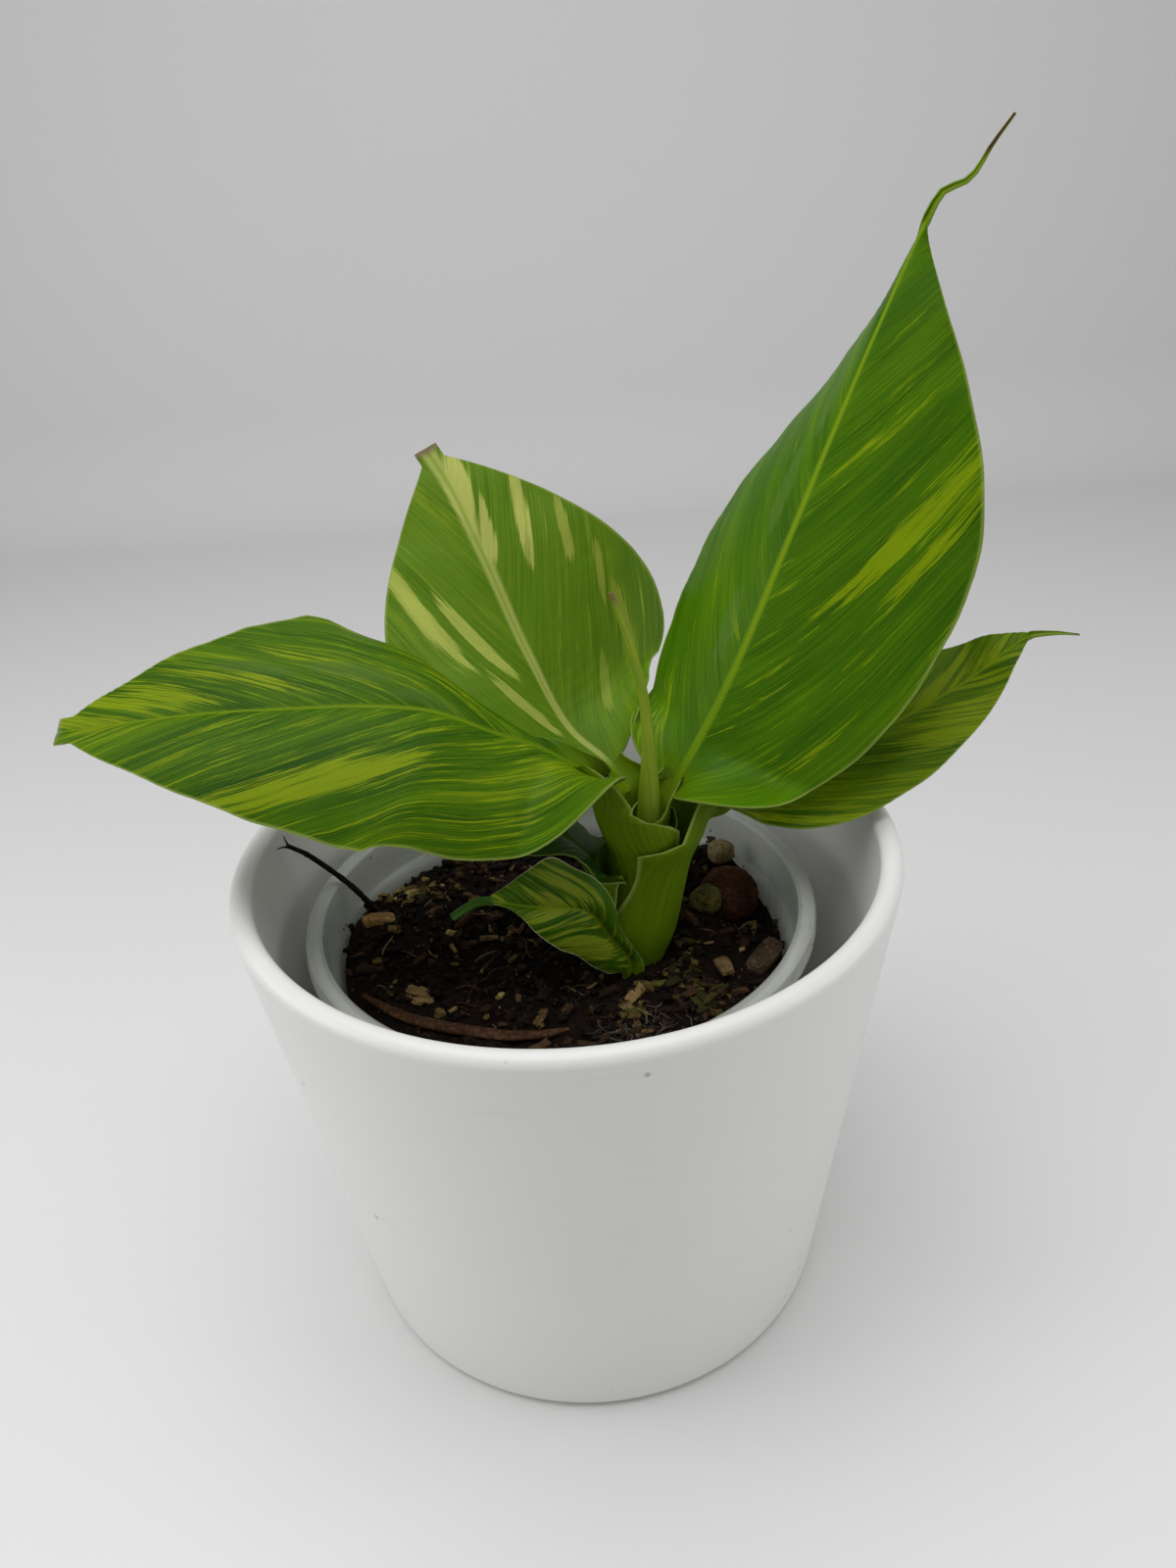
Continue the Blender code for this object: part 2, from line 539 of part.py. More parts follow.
def make_corm(collection):
    profile = [(0, CORM_TOP), (CORM_RADIUS - 0.8, CORM_TOP), (CORM_RADIUS, CORM_TOP - 0.8),
               (CORM_RADIUS, CORM_TOP - 6)]
    profile += arc((CORM_RADIUS - 6, CORM_BOTTOM + 6), 6, -15, -90, 4)
    profile += [(0, CORM_BOTTOM)]
    flesh = material("corm_flesh", (0.35, 0.30, 0.16), 0.7)
    corm = turned("corm", profile, CORM_STEPS, collection, flesh)
    corm.location = (STEM_AXIS[0][0] * MM, STEM_AXIS[0][1] * MM, 0)
    return corm


def make_spear(collection):
    """The newest leaf, still rolled: a tapered rod up the middle of the stem."""
    foot = CORM_TOP + CLEARANCE
    route = [(*stem_axis(foot + rise), radius) for rise, radius in SPEAR_FOOT] + SPEAR_TIP
    places = np.cumsum([0] + [math.dist(a[:3], b[:3]) for a, b in zip(route, route[1:])])
    curve = bpy.data.curves.new("new_leaf_spear", "CURVE")
    curve.dimensions = "3D"
    curve.bevel_depth = MM
    curve.bevel_resolution = 2
    curve.use_fill_caps = True
    line = curve.splines.new("POLY")
    line.points.add(SPEAR_POINTS - 1)
    for i in range(SPEAR_POINTS):
        x, y, z, radius = hermite(places, route, places[-1] * i / (SPEAR_POINTS - 1))
        line.points[i].co = (x * MM, y * MM, z * MM, 1)
        line.points[i].radius = radius
    obj = bpy.data.objects.new("new_leaf_spear", curve)
    collection.objects.link(obj)
    curve.materials.append(material("spear_green", (0.30, 0.38, 0.06), 0.45))
    return obj


def sheath_rows(leaf):
    """Cross sections of the sheath, from the corm up to where its midrib leaves the stem."""
    turn = math.radians(leaf["azimuth"])
    outward = np.array([math.cos(turn), math.sin(turn), 0.0])
    heights = [CORM_TOP + CLEARANCE] + [z for z in SHEATH_LEVELS if z < leaf["opens"] - 2]
    lean_from = leaf["opens"] - LEAN_BELOW
    heights += [leaf["opens"] + (leaf["leaves"] - leaf["opens"]) * i / OPEN_ROWS
                for i in range(OPEN_ROWS + 1)]
    rows = []
    for z in heights:
        radius = ring_radius(leaf["ring"], z)
        along = stem_direction(z)
        up_face = -unit(outward - along * outward.dot(along))
        opened = ease((z - leaf["opens"]) / (leaf["leaves"] - leaf["opens"]))
        wraps = [math.radians(closed + (wide - closed) * opened)
                 for closed, wide in zip(leaf["wrap"], leaf["open_wrap"])]
        lean = leaf["lean"] * ease((z - lean_from) / (leaf["leaves"] - lean_from))
        rows.append(dict(
            at=stem_axis(z) - (radius + lean) * up_face, along=along, face=up_face,
            sides=[(radius * w, 0.0, w, 0.0) for w in wraps], rib=BLADE_THICK))
    return rows


def routed_rows(leaf):
    """Cross sections of a leaf whose midrib and margins are given as routes."""
    knots = range(len(leaf["midrib"]))
    rows = []
    for i in range(leaf["rows"] + 1):
        share = i / leaf["rows"]
        left, at, right, on = (hermite(knots, leaf[name], share * knots[-1] + step)
                               for name, step in (("left", 0), ("midrib", 0), ("right", 0),
                                                  ("midrib", 0.05)))
        face = unit(np.cross(right - left, on - at))
        grown = 0.6 * ease(share / 0.4) * (1 - share)
        rows.append(dict(at=at, margins=(left, right), face=face,
                         bulge=hermite((0, 0.5, 1), leaf["bulge"], share),
                         rib=BLADE_THICK + (RIB_THICK - BLADE_THICK) * grown))
    knots = range(len(leaf["tip"]))
    for i in range(1, leaf["tip_rows"] + 1):
        share = i / leaf["tip_rows"]
        at = hermite(knots, leaf["tip"], share * knots[-1])
        half = face * leaf["tip_width"] * (1 - 0.4 * share)
        side = unit(np.cross(at - rows[-1]["at"], half)) * leaf["tip_width"]
        rows.append(dict(at=at, margins=(at - side + half, at + side + half), face=face,
                         bulge=0.0, rib=BLADE_THICK))
    return rows


def half_width(side, x):
    """Half width of one side of the blade at a share x of its length, 0 behind its base lobe."""
    lobe, widest = side["lobe_share"], side["widest"]
    if x <= -lobe or x >= 1:
        return 0.0
    if x < widest:
        share, power = (x + lobe) / (widest + lobe), side["base"]
    else:
        share, power = (1 - x) / (1 - widest), side["point"]
    return side["width"] * (share * (1 + side["belly"] * (1 - share)))**power


def blade_rows(leaf, last):
    """Cross sections from the end of the sheath to the tip of the leaf."""
    points = [last["at"]] + [np.array(p, float) for p in leaf["midrib"]]
    places = np.cumsum([0] + [np.linalg.norm(b - a) for a, b in zip(points, points[1:])])
    total = places[-1]
    faces = [last["face"]] + [np.array(f, float) for f in leaf["faces"]]
    face_places = np.linspace(0, total, len(faces))
    start, end = leaf["blade_from"], leaf["blade_to"]
    length = (end - start) * total
    shares = [start * 0.5]
    for i in range(leaf["rows"] + 1):
        x = i / leaf["rows"]
        shares.append(start + (end - start) * (0.35 * x + 0.65 * (1 - math.cos(math.pi * x)) / 2))
    if end < 1:
        shares += [end + (1 - end) * i / DRIP_ROWS for i in range(1, DRIP_ROWS + 1)]
    tip_half = leaf["tip_width"]
    rows = []
    for share in shares:
        s = share * total
        at = hermite(places, points, s)
        along = unit(hermite(places, points, min(s + 0.4, total))
                     - hermite(places, points, max(s - 0.4, 0)))
        face = hermite(face_places, faces, s)
        face = unit(face - along * face.dot(along))
        v = (share - start) / (end - start)
        place = min(max(v, 0.0), 1.0)
        channel = 1 - ease(v / CHANNEL_SHARE)
        curl = ease((v - CURL_FROM) / (1 - CURL_FROM)) if end < 1 else 0.0
        sides = []
        for index, name in enumerate(("left", "right")):
            side = dict(leaf[name], lobe_share=leaf[name]["lobe"] / length)
            stalk = leaf["stalk"][index]
            stalk += (last["sides"][index][0] - stalk) * (1 - ease(share / start))
            stalk += (tip_half - leaf["stalk"][index]) * ease(place)
            if share > end:
                stalk = tip_half * (1 - 0.4 * (share - end) / (1 - end))
            reach = place + 4 * leaf["sweep"] * place * (1 - place)
            reach -= side["lobe_share"] * (1 - place) ** 8
            half = max(stalk, half_width(side, reach) if v >= 0 else 0)
            rib = hermite((0, 0.5, 1), side["rib"], place)
            edge = hermite((0, 0.5, 1), side["edge"], place)
            flat = (1 - channel) * (1 - curl)
            rib_angle = rib * flat + CURL_ANGLES[0] * curl + CHANNEL_RIB_ANGLE * channel
            edge_angle = edge * flat + CURL_ANGLES[1] * curl + side["cup"] * channel
            forward = (reach - place) * length if 0 <= v < 1 else 0.0
            sides.append((half, math.radians(rib_angle), math.radians(edge_angle), forward))
        grown = ease(share / start) * (1 - place) ** 0.7
        rows.append(dict(at=at, along=along, face=face, sides=sides,
                         rib=BLADE_THICK + (RIB_THICK - BLADE_THICK) * grown))
    return rows


def across(half, first, last, t):
    """Place along a bent section: distance out and height, turning from one angle to another."""
    bend = last - first
    if abs(bend) < 1e-4:
        return half * t * math.cos(first), half * t * math.sin(first)
    return (half / bend * (math.sin(first + bend * t) - math.sin(first)),
            half / bend * (math.cos(first) - math.cos(first + bend * t)))


def leaf_point(row, column):
    """Column runs from -SIDE_COLUMNS at the left edge to SIDE_COLUMNS at the right edge."""
    if "margins" in row:
        t = abs(column) / SIDE_COLUMNS
        margin = row["margins"][0 if column < 0 else 1]
        return row["at"] + (margin - row["at"]) * t + row["face"] * row["bulge"] * 4 * t * (1 - t)
    half, first, last, forward = row["sides"][0 if column < 0 else 1]
    step = abs(column)
    rib_half = min(1.3, 0.3 * half)
    t = 0.0
    if step:
        t = (rib_half + (half - rib_half) * (step - 1) / (SIDE_COLUMNS - 1)) / half
    out, up = across(half, first, last, t)
    sideways = np.cross(row["along"], row["face"]) * (1 if column > 0 else -1)
    return row["at"] + sideways * out + row["face"] * up + row["along"] * forward * t**1.2


def make_leaf(name, rows, collection, mat):
    """Sheath, stalk and blade as one bent grid, given its thickness on the underside."""
    columns = 2 * SIDE_COLUMNS + 1
    bpy.ops.mesh.primitive_grid_add(x_subdivisions=columns - 1, y_subdivisions=len(rows) - 1, size=2)
    obj = bpy.context.object
    obj.name = name
    for old in list(obj.users_collection):
        old.objects.unlink(obj)
    collection.objects.link(obj)
    obj.data.name = name
    obj.data.materials.append(mat)
    thick = obj.vertex_groups.new(name="thickness")
    for vertex in obj.data.vertices:
        column = round((vertex.co.x + 1) / 2 * (columns - 1)) - SIDE_COLUMNS
        row = rows[round((vertex.co.y + 1) / 2 * (len(rows) - 1))]
        vertex.co = Vector(leaf_point(row, column)) * MM
        depth = row["rib"] if column == 0 else BLADE_THICK
        thick.add([vertex.index], depth / RIB_THICK, "REPLACE")
    bm = bmesh.new()
    bm.from_mesh(obj.data)
    bmesh.ops.triangulate(bm, faces=bm.faces[:])
    bm.to_mesh(obj.data)
    bm.free()
    wall = obj.modifiers.new("Thickness", "SOLIDIFY")
    wall.thickness = RIB_THICK * MM
    wall.offset = -1
    wall.vertex_group = "thickness"
    wall.thickness_vertex_group = 0.0
    wall.use_rim = True
    return obj


def main():
    clear_scene()
    plant = new_collection("potted_banana_plant")
    cutters = {name: new_collection(name) for name in ("drains", "crumbs", "soil_cuts")}
    make_cover_pot(plant)
    make_nursery_pot(plant, cutters)
    soil = make_soil(plant, cutters)
    cut_soil(soil, cutters)
    make_loose(plant)
    make_corm(plant)
    make_spear(plant)
    for name, leaf in LEAVES.items():
        rows = sheath_rows(leaf)
        rows += blade_rows(leaf, rows[-1])
        make_leaf(name, rows, plant, material(name, leaf["colour"], 0.4))
    make_leaf("leaf_base_small", routed_rows(SMALL_LEAF), plant,
              material("leaf_base_small", SMALL_LEAF["colour"], 0.4))


main()
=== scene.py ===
import math
import random

import bpy
import numpy as np
from mathutils import Euler, Matrix, Vector, noise


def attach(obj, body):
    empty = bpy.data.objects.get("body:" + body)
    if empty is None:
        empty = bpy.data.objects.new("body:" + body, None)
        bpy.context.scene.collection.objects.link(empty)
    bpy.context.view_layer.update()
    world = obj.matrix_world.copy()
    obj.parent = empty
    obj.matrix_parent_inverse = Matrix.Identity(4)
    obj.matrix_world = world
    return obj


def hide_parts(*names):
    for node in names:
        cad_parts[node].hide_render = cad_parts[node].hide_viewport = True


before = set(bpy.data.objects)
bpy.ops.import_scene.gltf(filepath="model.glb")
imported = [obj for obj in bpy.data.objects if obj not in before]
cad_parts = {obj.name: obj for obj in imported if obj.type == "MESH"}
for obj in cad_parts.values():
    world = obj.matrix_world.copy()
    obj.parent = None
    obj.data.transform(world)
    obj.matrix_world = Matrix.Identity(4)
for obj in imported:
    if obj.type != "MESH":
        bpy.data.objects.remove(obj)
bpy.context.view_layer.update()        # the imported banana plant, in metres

mm = 0.001               # every size below is in millimetres


# small helpers for shapes

def selectOnly(piece):
    bpy.ops.object.select_all(action="DESELECT")
    piece.select_set(True)
    bpy.context.view_layer.objects.active = piece


def namedPiece(name):
    piece = bpy.context.object
    piece.name = name
    piece.data.name = name
    return piece


def settle(piece, finishes, node=None):
    # a finished piece: origin at zero, its material, the body it rides on and the node it stands for
    selectOnly(piece)
    bpy.ops.object.transform_apply(location=True, rotation=True, scale=True)
    piece.data.materials.clear()
    for finish in finishes:
        piece.data.materials.append(finish.material)
    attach(piece, "root")
    if node:
        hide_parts(node)


def applyModifiers(piece):
    selectOnly(piece)
    for modifier in list(piece.modifiers):
        bpy.ops.object.modifier_apply(modifier=modifier.name)


def smoothBy(piece, degrees):
    selectOnly(piece)
    bpy.ops.object.shade_smooth_by_angle(angle=math.radians(degrees))


def hermite(knots, values, at):
    # a smooth curve through the values at the knots, read at one place
    knots, values = np.asarray(knots, float), np.asarray(values, float)
    slopes = np.gradient(values, knots, axis=0)
    i = int(np.clip(np.searchsorted(knots, at) - 1, 0, len(knots) - 2))
    span = knots[i + 1] - knots[i]
    t = (at - knots[i]) / span
    return ((2 * t**3 - 3 * t**2 + 1) * values[i] + (t**3 - 2 * t**2 + t) * span * slopes[i]
            + (3 * t**2 - 2 * t**3) * values[i + 1] + (t**3 - t**2) * span * slopes[i + 1])


def unit(vector):
    vector = np.asarray(vector, float)
    return vector / np.linalg.norm(vector)


def ease(x):
    x = min(max(x, 0.0), 1.0)
    return x * x * (3 - 2 * x)


def faceOutward(mergeWithin=0.0):
    bpy.ops.object.mode_set(mode="EDIT")
    bpy.ops.mesh.select_all(action="SELECT")
    if mergeWithin:
        bpy.ops.mesh.remove_doubles(threshold=mergeWithin)
    bpy.ops.mesh.normals_make_consistent(inside=False)
    bpy.ops.object.mode_set(mode="OBJECT")


def arc(centre, radius, start, end, count):
    angles = [math.radians(start + (end - start) * i / count) for i in range(count + 1)]
    return [(centre[0] + radius * math.cos(a), centre[1] + radius * math.sin(a)) for a in angles]


def turnedPiece(name, profile, steps, middle=(0.0, 0.0)):
    # a filled ring pulled up, in and out along the profile, as a potter's section
    radius, height = profile[0]
    centre = (middle[0] * mm, middle[1] * mm, height * mm)
    bpy.ops.mesh.primitive_circle_add(vertices=steps, radius=radius * mm, fill_type="NGON", location=centre)
    piece = namedPiece(name)
    bpy.ops.object.transform_apply(location=True, rotation=True, scale=True)
    bpy.ops.object.mode_set(mode="EDIT")
    bpy.ops.mesh.select_mode(type="FACE")
    bpy.ops.mesh.select_all(action="SELECT")
    for (oldRadius, oldHeight), (newRadius, newHeight) in zip(profile, profile[1:]):
        step = (0, 0, (newHeight - oldHeight) * mm)
        bpy.ops.mesh.extrude_region_move(TRANSFORM_OT_translate={"value": step})
        grow = newRadius / oldRadius
        bpy.ops.transform.resize(value=(grow, grow, 1), center_override=(centre[0], centre[1], newHeight * mm))
    bpy.ops.mesh.select_all(action="SELECT")
    bpy.ops.mesh.normals_make_consistent(inside=False)
    bpy.ops.object.mode_set(mode="OBJECT")
    return piece


# shader maths: a wire is a socket's value, a finish is one material

class Wire:
    def __init__(self, finish, socket):
        self.finish, self.socket = finish, socket

    def maths(self, operation, *values):
        return self.finish.node("Math", {"operation": operation}, dict(enumerate(values)))

    def __add__(self, other): return self.maths("ADD", self, other)
    def __radd__(self, other): return self.maths("ADD", other, self)
    def __sub__(self, other): return self.maths("SUBTRACT", self, other)
    def __rsub__(self, other): return self.maths("SUBTRACT", other, self)
    def __mul__(self, other): return self.maths("MULTIPLY", self, other)
    def __rmul__(self, other): return self.maths("MULTIPLY", other, self)
    def __truediv__(self, other): return self.maths("DIVIDE", self, other)
    def __abs__(self): return self.maths("ABSOLUTE", self)

    def sine(self): return self.maths("SINE", self)
    def least(self, other): return self.maths("MINIMUM", self, other)
    def most(self, other): return self.maths("MAXIMUM", self, other)

    def part(self, index):
        return self.finish.node("SeparateXYZ", {}, {0: self}, index)

    def smooth(self, low, high):
        ends = {"Value": self, "From Min": low, "From Max": high}
        return self.finish.node("MapRange", {"interpolation_type": "SMOOTHSTEP"}, ends)

    def ramp(self, stops):
        return self.finish.node("ValToRGB", {"stops": stops}, {0: self})


class Finish:
    def __init__(self, name, fixed):
        self.material = bpy.data.materials.new(name)
        self.material.use_nodes = True
        self.tree = self.material.node_tree
        self.shader = self.tree.nodes["Principled BSDF"]
        self.feed(fixed)

    def plug(self, socket, value):
        if isinstance(value, Wire):
            self.tree.links.new(value.socket, socket)
        elif isinstance(value, tuple) and socket.type == "RGBA":
            socket.default_value = (*value[:3], 1.0)
        else:
            socket.default_value = value

    def feed(self, values):
        for socket, value in values.items():
            self.plug(self.shader.inputs[socket], value)

    def node(self, kind, settings, values, output=0):
        node = self.tree.nodes.new("ShaderNode" + kind)
        for setting, value in settings.items():
            if setting == "stops":
                elements = node.color_ramp.elements
                while len(elements) < len(value):
                    elements.new(0.5)
                for element, (position, colour) in zip(elements, value):
                    element.position = position
                    element.color = (*colour, 1.0)
            else:
                setattr(node, setting, value)
        for socket, value in values.items():
            self.plug(node.inputs[socket], value)
        return Wire(self, node.outputs[output])

    def vector(self, x, y, z):
        return self.node("CombineXYZ", {}, {0: x, 1: y, 2: z})

    def place(self):
        return self.node("TexCoord", {}, {}, "Object")

    def grain(self, vector, scale, detail=2.0, rough=0.5):
        return self.node("TexNoise", {}, {"Vector": vector, "Scale": scale, "Detail": detail, "Roughness": rough})

    def cells(self, vector, scale):
        return self.node("TexVoronoi", {"feature": "F1"}, {"Vector": vector, "Scale": scale}, "Distance")

    def stretched(self, vector, up):
        return self.node("Mapping", {}, {"Vector": vector, "Scale": (1, 1, up)})

    def blend(self, under, over, share):
        return self.node("Mix", {"data_type": "RGBA"}, {0: share, 6: under, 7: over}, 2)

    def bump(self, height, depth, strength=1.0):
        values = {"Height": height, "Distance": depth * mm, "Strength": strength}
        self.feed({"Normal": self.node("Bump", {}, values)})


# camera, where the photograph was taken from

view = dict(place=(5.68, -217.24, 242.24), pitch=28.561, roll=-3.808, lens=27.39)

pitch, roll = math.radians(view["pitch"]), math.radians(view["roll"])
ahead = Vector((0, math.cos(pitch), -math.sin(pitch)))
level = Vector((1, 0, 0))
above = level.cross(ahead)
sideways = level * math.cos(roll) + above * math.sin(roll)
upwards = above * math.cos(roll) - level * math.sin(roll)
bpy.ops.object.camera_add()
camera = bpy.context.object
camera.data.lens = view["lens"]
camera.data.sensor_width = 36
camera.data.sensor_fit = "AUTO"
camera.data.clip_start = 0.01
camera.matrix_world = (Matrix.Translation(Vector(view["place"]) * mm)
                       @ Matrix((sideways, upwards, -ahead)).transposed().to_4x4())
bpy.context.scene.camera = camera


# plain studio: a pale floor that sweeps up into a wall, and soft lamps; the paper's colour darkens between
# the two distances of fade, a painted shade on the far floor and wall, and the wall is far enough back to be looked
# past from behind the pot

studio = dict(
    front=-1300, back=620, bend=75, half=1300, height=900, floor=(0.8, 0.8, 0.8), fade=(-20, 230),
    world=(1.0, 1.0, 1.0), worldPower=0.36, wallShade=0.9,
    lamps=[
        dict(name="topLamp", at=(-60, -40, 720), size=650, power=2.6),
        dict(name="leftLamp", at=(-620, -60, 330), size=520, power=1.25),
        dict(name="rightLamp", at=(620, -80, 330), size=520, power=0.85)])


def makeStudio():
    reach = studio["back"] - studio["front"]
    bpy.ops.mesh.primitive_plane_add(size=1, location=(0, (studio["front"] + reach / 2) * mm, 0))
    sweep = namedPiece("studioSweep")
    sweep.scale = (2 * studio["half"] * mm, reach * mm, 1)
    bpy.ops.object.transform_apply(location=True, rotation=True, scale=True)
    for vertex in sweep.data.vertices:
        vertex.select = vertex.co.y > 0
    for edge in sweep.data.edges:
        edge.select = all(sweep.data.vertices[i].co.y > 0 for i in edge.vertices)
    for face in sweep.data.polygons:
        face.select = False
    bpy.ops.object.mode_set(mode="EDIT")
    bpy.ops.mesh.select_mode(type="EDGE")
    curve = [(studio["back"] + studio["bend"] * math.sin(a), studio["bend"] * (1 - math.cos(a)))
             for a in np.linspace(0, math.pi / 2, 13)]
    curve.append((curve[-1][0], studio["height"]))
    for (y0, z0), (y1, z1) in zip(curve, curve[1:]):
        step = (0, (y1 - y0) * mm, (z1 - z0) * mm)
        bpy.ops.mesh.extrude_region_move(TRANSFORM_OT_translate={"value": step})
    bpy.ops.object.mode_set(mode="OBJECT")
    smoothBy(sweep, 40)
    paper = Finish("studioPaper", {"Roughness": 0.9})
    # painted shade: the paper's colour goes darker behind the pot, by wallShade, standing for the far floor and wall
    # getting less light
    depth = paper.place().part(1).smooth(*[d * mm for d in studio["fade"]])
    wall = tuple(c * studio["wallShade"] for c in studio["floor"])
    paper.feed({"Base Color": paper.blend(studio["floor"], wall, depth)})
    sweep.data.materials.append(paper.material)
    for lamp in studio["lamps"]:
        spot = Vector(lamp["at"]) * mm
        aim = (Vector((0, 0, 0.1)) - spot).to_track_quat("-Z", "Y").to_euler()
        bpy.ops.object.light_add(type="AREA", location=spot, rotation=aim)
        light = bpy.context.object
        light.name = lamp["name"]
        light.data.shape = "DISK"
        light.data.size = lamp["size"] * mm
        light.data.energy = lamp["power"]
    world = bpy.context.scene.world or bpy.data.worlds.new("studioWorld")
    bpy.context.scene.world = world
    world.use_nodes = True
    world.node_tree.nodes["Background"].inputs["Color"].default_value = (*studio["world"], 1)
    world.node_tree.nodes["Background"].inputs["Strength"].default_value = studio["worldPower"]
    bpy.context.scene.view_settings.view_transform = "Standard"
    print("studio ready")


makeStudio()


# white ceramic cover pot

coverPot = dict(
    height=111.7, topRadius=70.0, footRadius=54.6, wall=4.7, floor=6.0, heel=3.5, steps=180, footRing=(51.0, 46.0),
    recess=1.2, white=(0.8, 0.795, 0.775), grey=(0.7, 0.69, 0.665), bareClay=(0.62, 0.59, 0.54),
    speck=(0.3, 0.27, 0.22))


def ceramicFinish():
    look = coverPot
    finish = Finish("whiteCeramic", {"Specular IOR Level": 0.4, "Coat Roughness": 0.22})
    place = finish.place()
    cloudy = finish.grain(place, 14, 3).smooth(0.3, 0.7)
    colour = finish.blend(look["white"], look["grey"], cloudy * 0.18)
    scuff = finish.grain(finish.stretched(place, 7), 26, 4, 0.6).smooth(0.62, 0.8)
    colour = finish.blend(colour, look["grey"], scuff * 0.35)
    speck = 1 - finish.cells(place, 95).smooth(0.045, 0.075)
    rare = finish.grain(place, 60, 0).smooth(0.60, 0.66)
    colour = finish.blend(colour, look["speck"], speck * rare * 0.7)
    foot = 1 - place.part(2).smooth(0.4 * mm, 1.4 * mm)
    colour = finish.blend(colour, look["bareClay"], foot)
    finish.feed({"Base Color": colour, "Coat Weight": 0.25 - foot * 0.25,
                 "Roughness": 0.40 + cloudy * 0.10 + foot * 0.35})
    skin = finish.grain(place, 420, 2) * 0.35 + finish.grain(place, 60, 2) + finish.grain(place, 1600, 1) * 0.1
    finish.bump(skin, 0.10, 0.5)
    return finish


def makeCoverPot():
    pot = coverPot
    slope = (pot["topRadius"] - pot["footRadius"]) / pot["height"]
    lip = pot["wall"] / 2
    innerFoot = pot["footRadius"] + slope * pot["floor"] - pot["wall"]
    ringOut, ringIn = pot["footRing"]
    profile = [(ringIn - 1.5, pot["recess"]), (ringIn, pot["recess"] * 0.6), (ringIn + 0.6, 0.0), (ringOut, 0.0)]
    profile += arc((pot["footRadius"] - pot["heel"] + 0.5, pot["heel"]), pot["heel"], -84, -8, 10)
    outFoot = profile[-1]
    for share in (0.02, 0.06, 0.15, 0.3, 0.45, 0.6, 0.75, 0.88, 0.96):
        height = outFoot[1] + (pot["height"] - lip - outFoot[1]) * share
        profile.append((outFoot[0] + (pot["topRadius"] - outFoot[0]) * share, height))
    profile += arc((pot["topRadius"] - lip, pot["height"] - lip), lip, 0, 180, 18)
    lipIn = profile[-1]
    for share in (0.04, 0.12, 0.3, 0.5, 0.7, 0.9):
        profile.append((lipIn[0] + (innerFoot - lipIn[0]) * share,
                        lipIn[1] + (pot["floor"] + 4 - lipIn[1]) * share))
    profile += arc((innerFoot - 4, pot["floor"] + 4), 4, 0, -90, 8)
    piece = turnedPiece("coverPot", profile, pot["steps"])
    smoothBy(piece, 50)
    settle(piece, [ceramicFinish()], "cover_pot")
    print("cover pot turned")


makeCoverPot()


# clear plastic nursery pot with its ledge and turned rim

nurseryPot = dict(
    x=-2.1, wall=0.8, top=96.3, rimRadius=55.1, neckRadius=52.0, ledgeTop=86.6, ledge=85.0, ledgeRadius=50.0,
    footRadius=41.0, footHeight=9.0, floor=6.35, holes=8, holeRadius=1.9, holeRing=30.0, steps=160,
    clear=(0.66, 0.69, 0.63), dirt=(0.1, 0.07, 0.04))


def clearFinish():
    finish = Finish("clearPlastic", {"Specular IOR Level": 0.6, "Coat Weight": 0.3, "Coat Roughness": 0.12})
    place = finish.place()
    cloudy = finish.grain(place, 55, 3)
    grime = finish.grain(finish.stretched(place, 0.35), 160, 4, 0.65).smooth(0.56, 0.72)
    low = 1 - place.part(2).smooth(84 * mm, 93 * mm)
    speck = 1 - finish.cells(place, 330).smooth(0.10, 0.16)
    dirt = (speck * finish.grain(place, 90, 1).smooth(0.5, 0.6) + grime * low * 0.5).least(1.0)
    finish.feed({"Base Color": finish.blend(nurseryPot["clear"], nurseryPot["dirt"], dirt),
                 "Alpha": (0.36 + cloudy * 0.14 + dirt * 0.5).least(1.0), "Roughness": 0.20 + cloudy * 0.18})
    finish.bump(cloudy + finish.grain(place, 700, 1) * 0.15, 0.12, 0.5)
    return finish


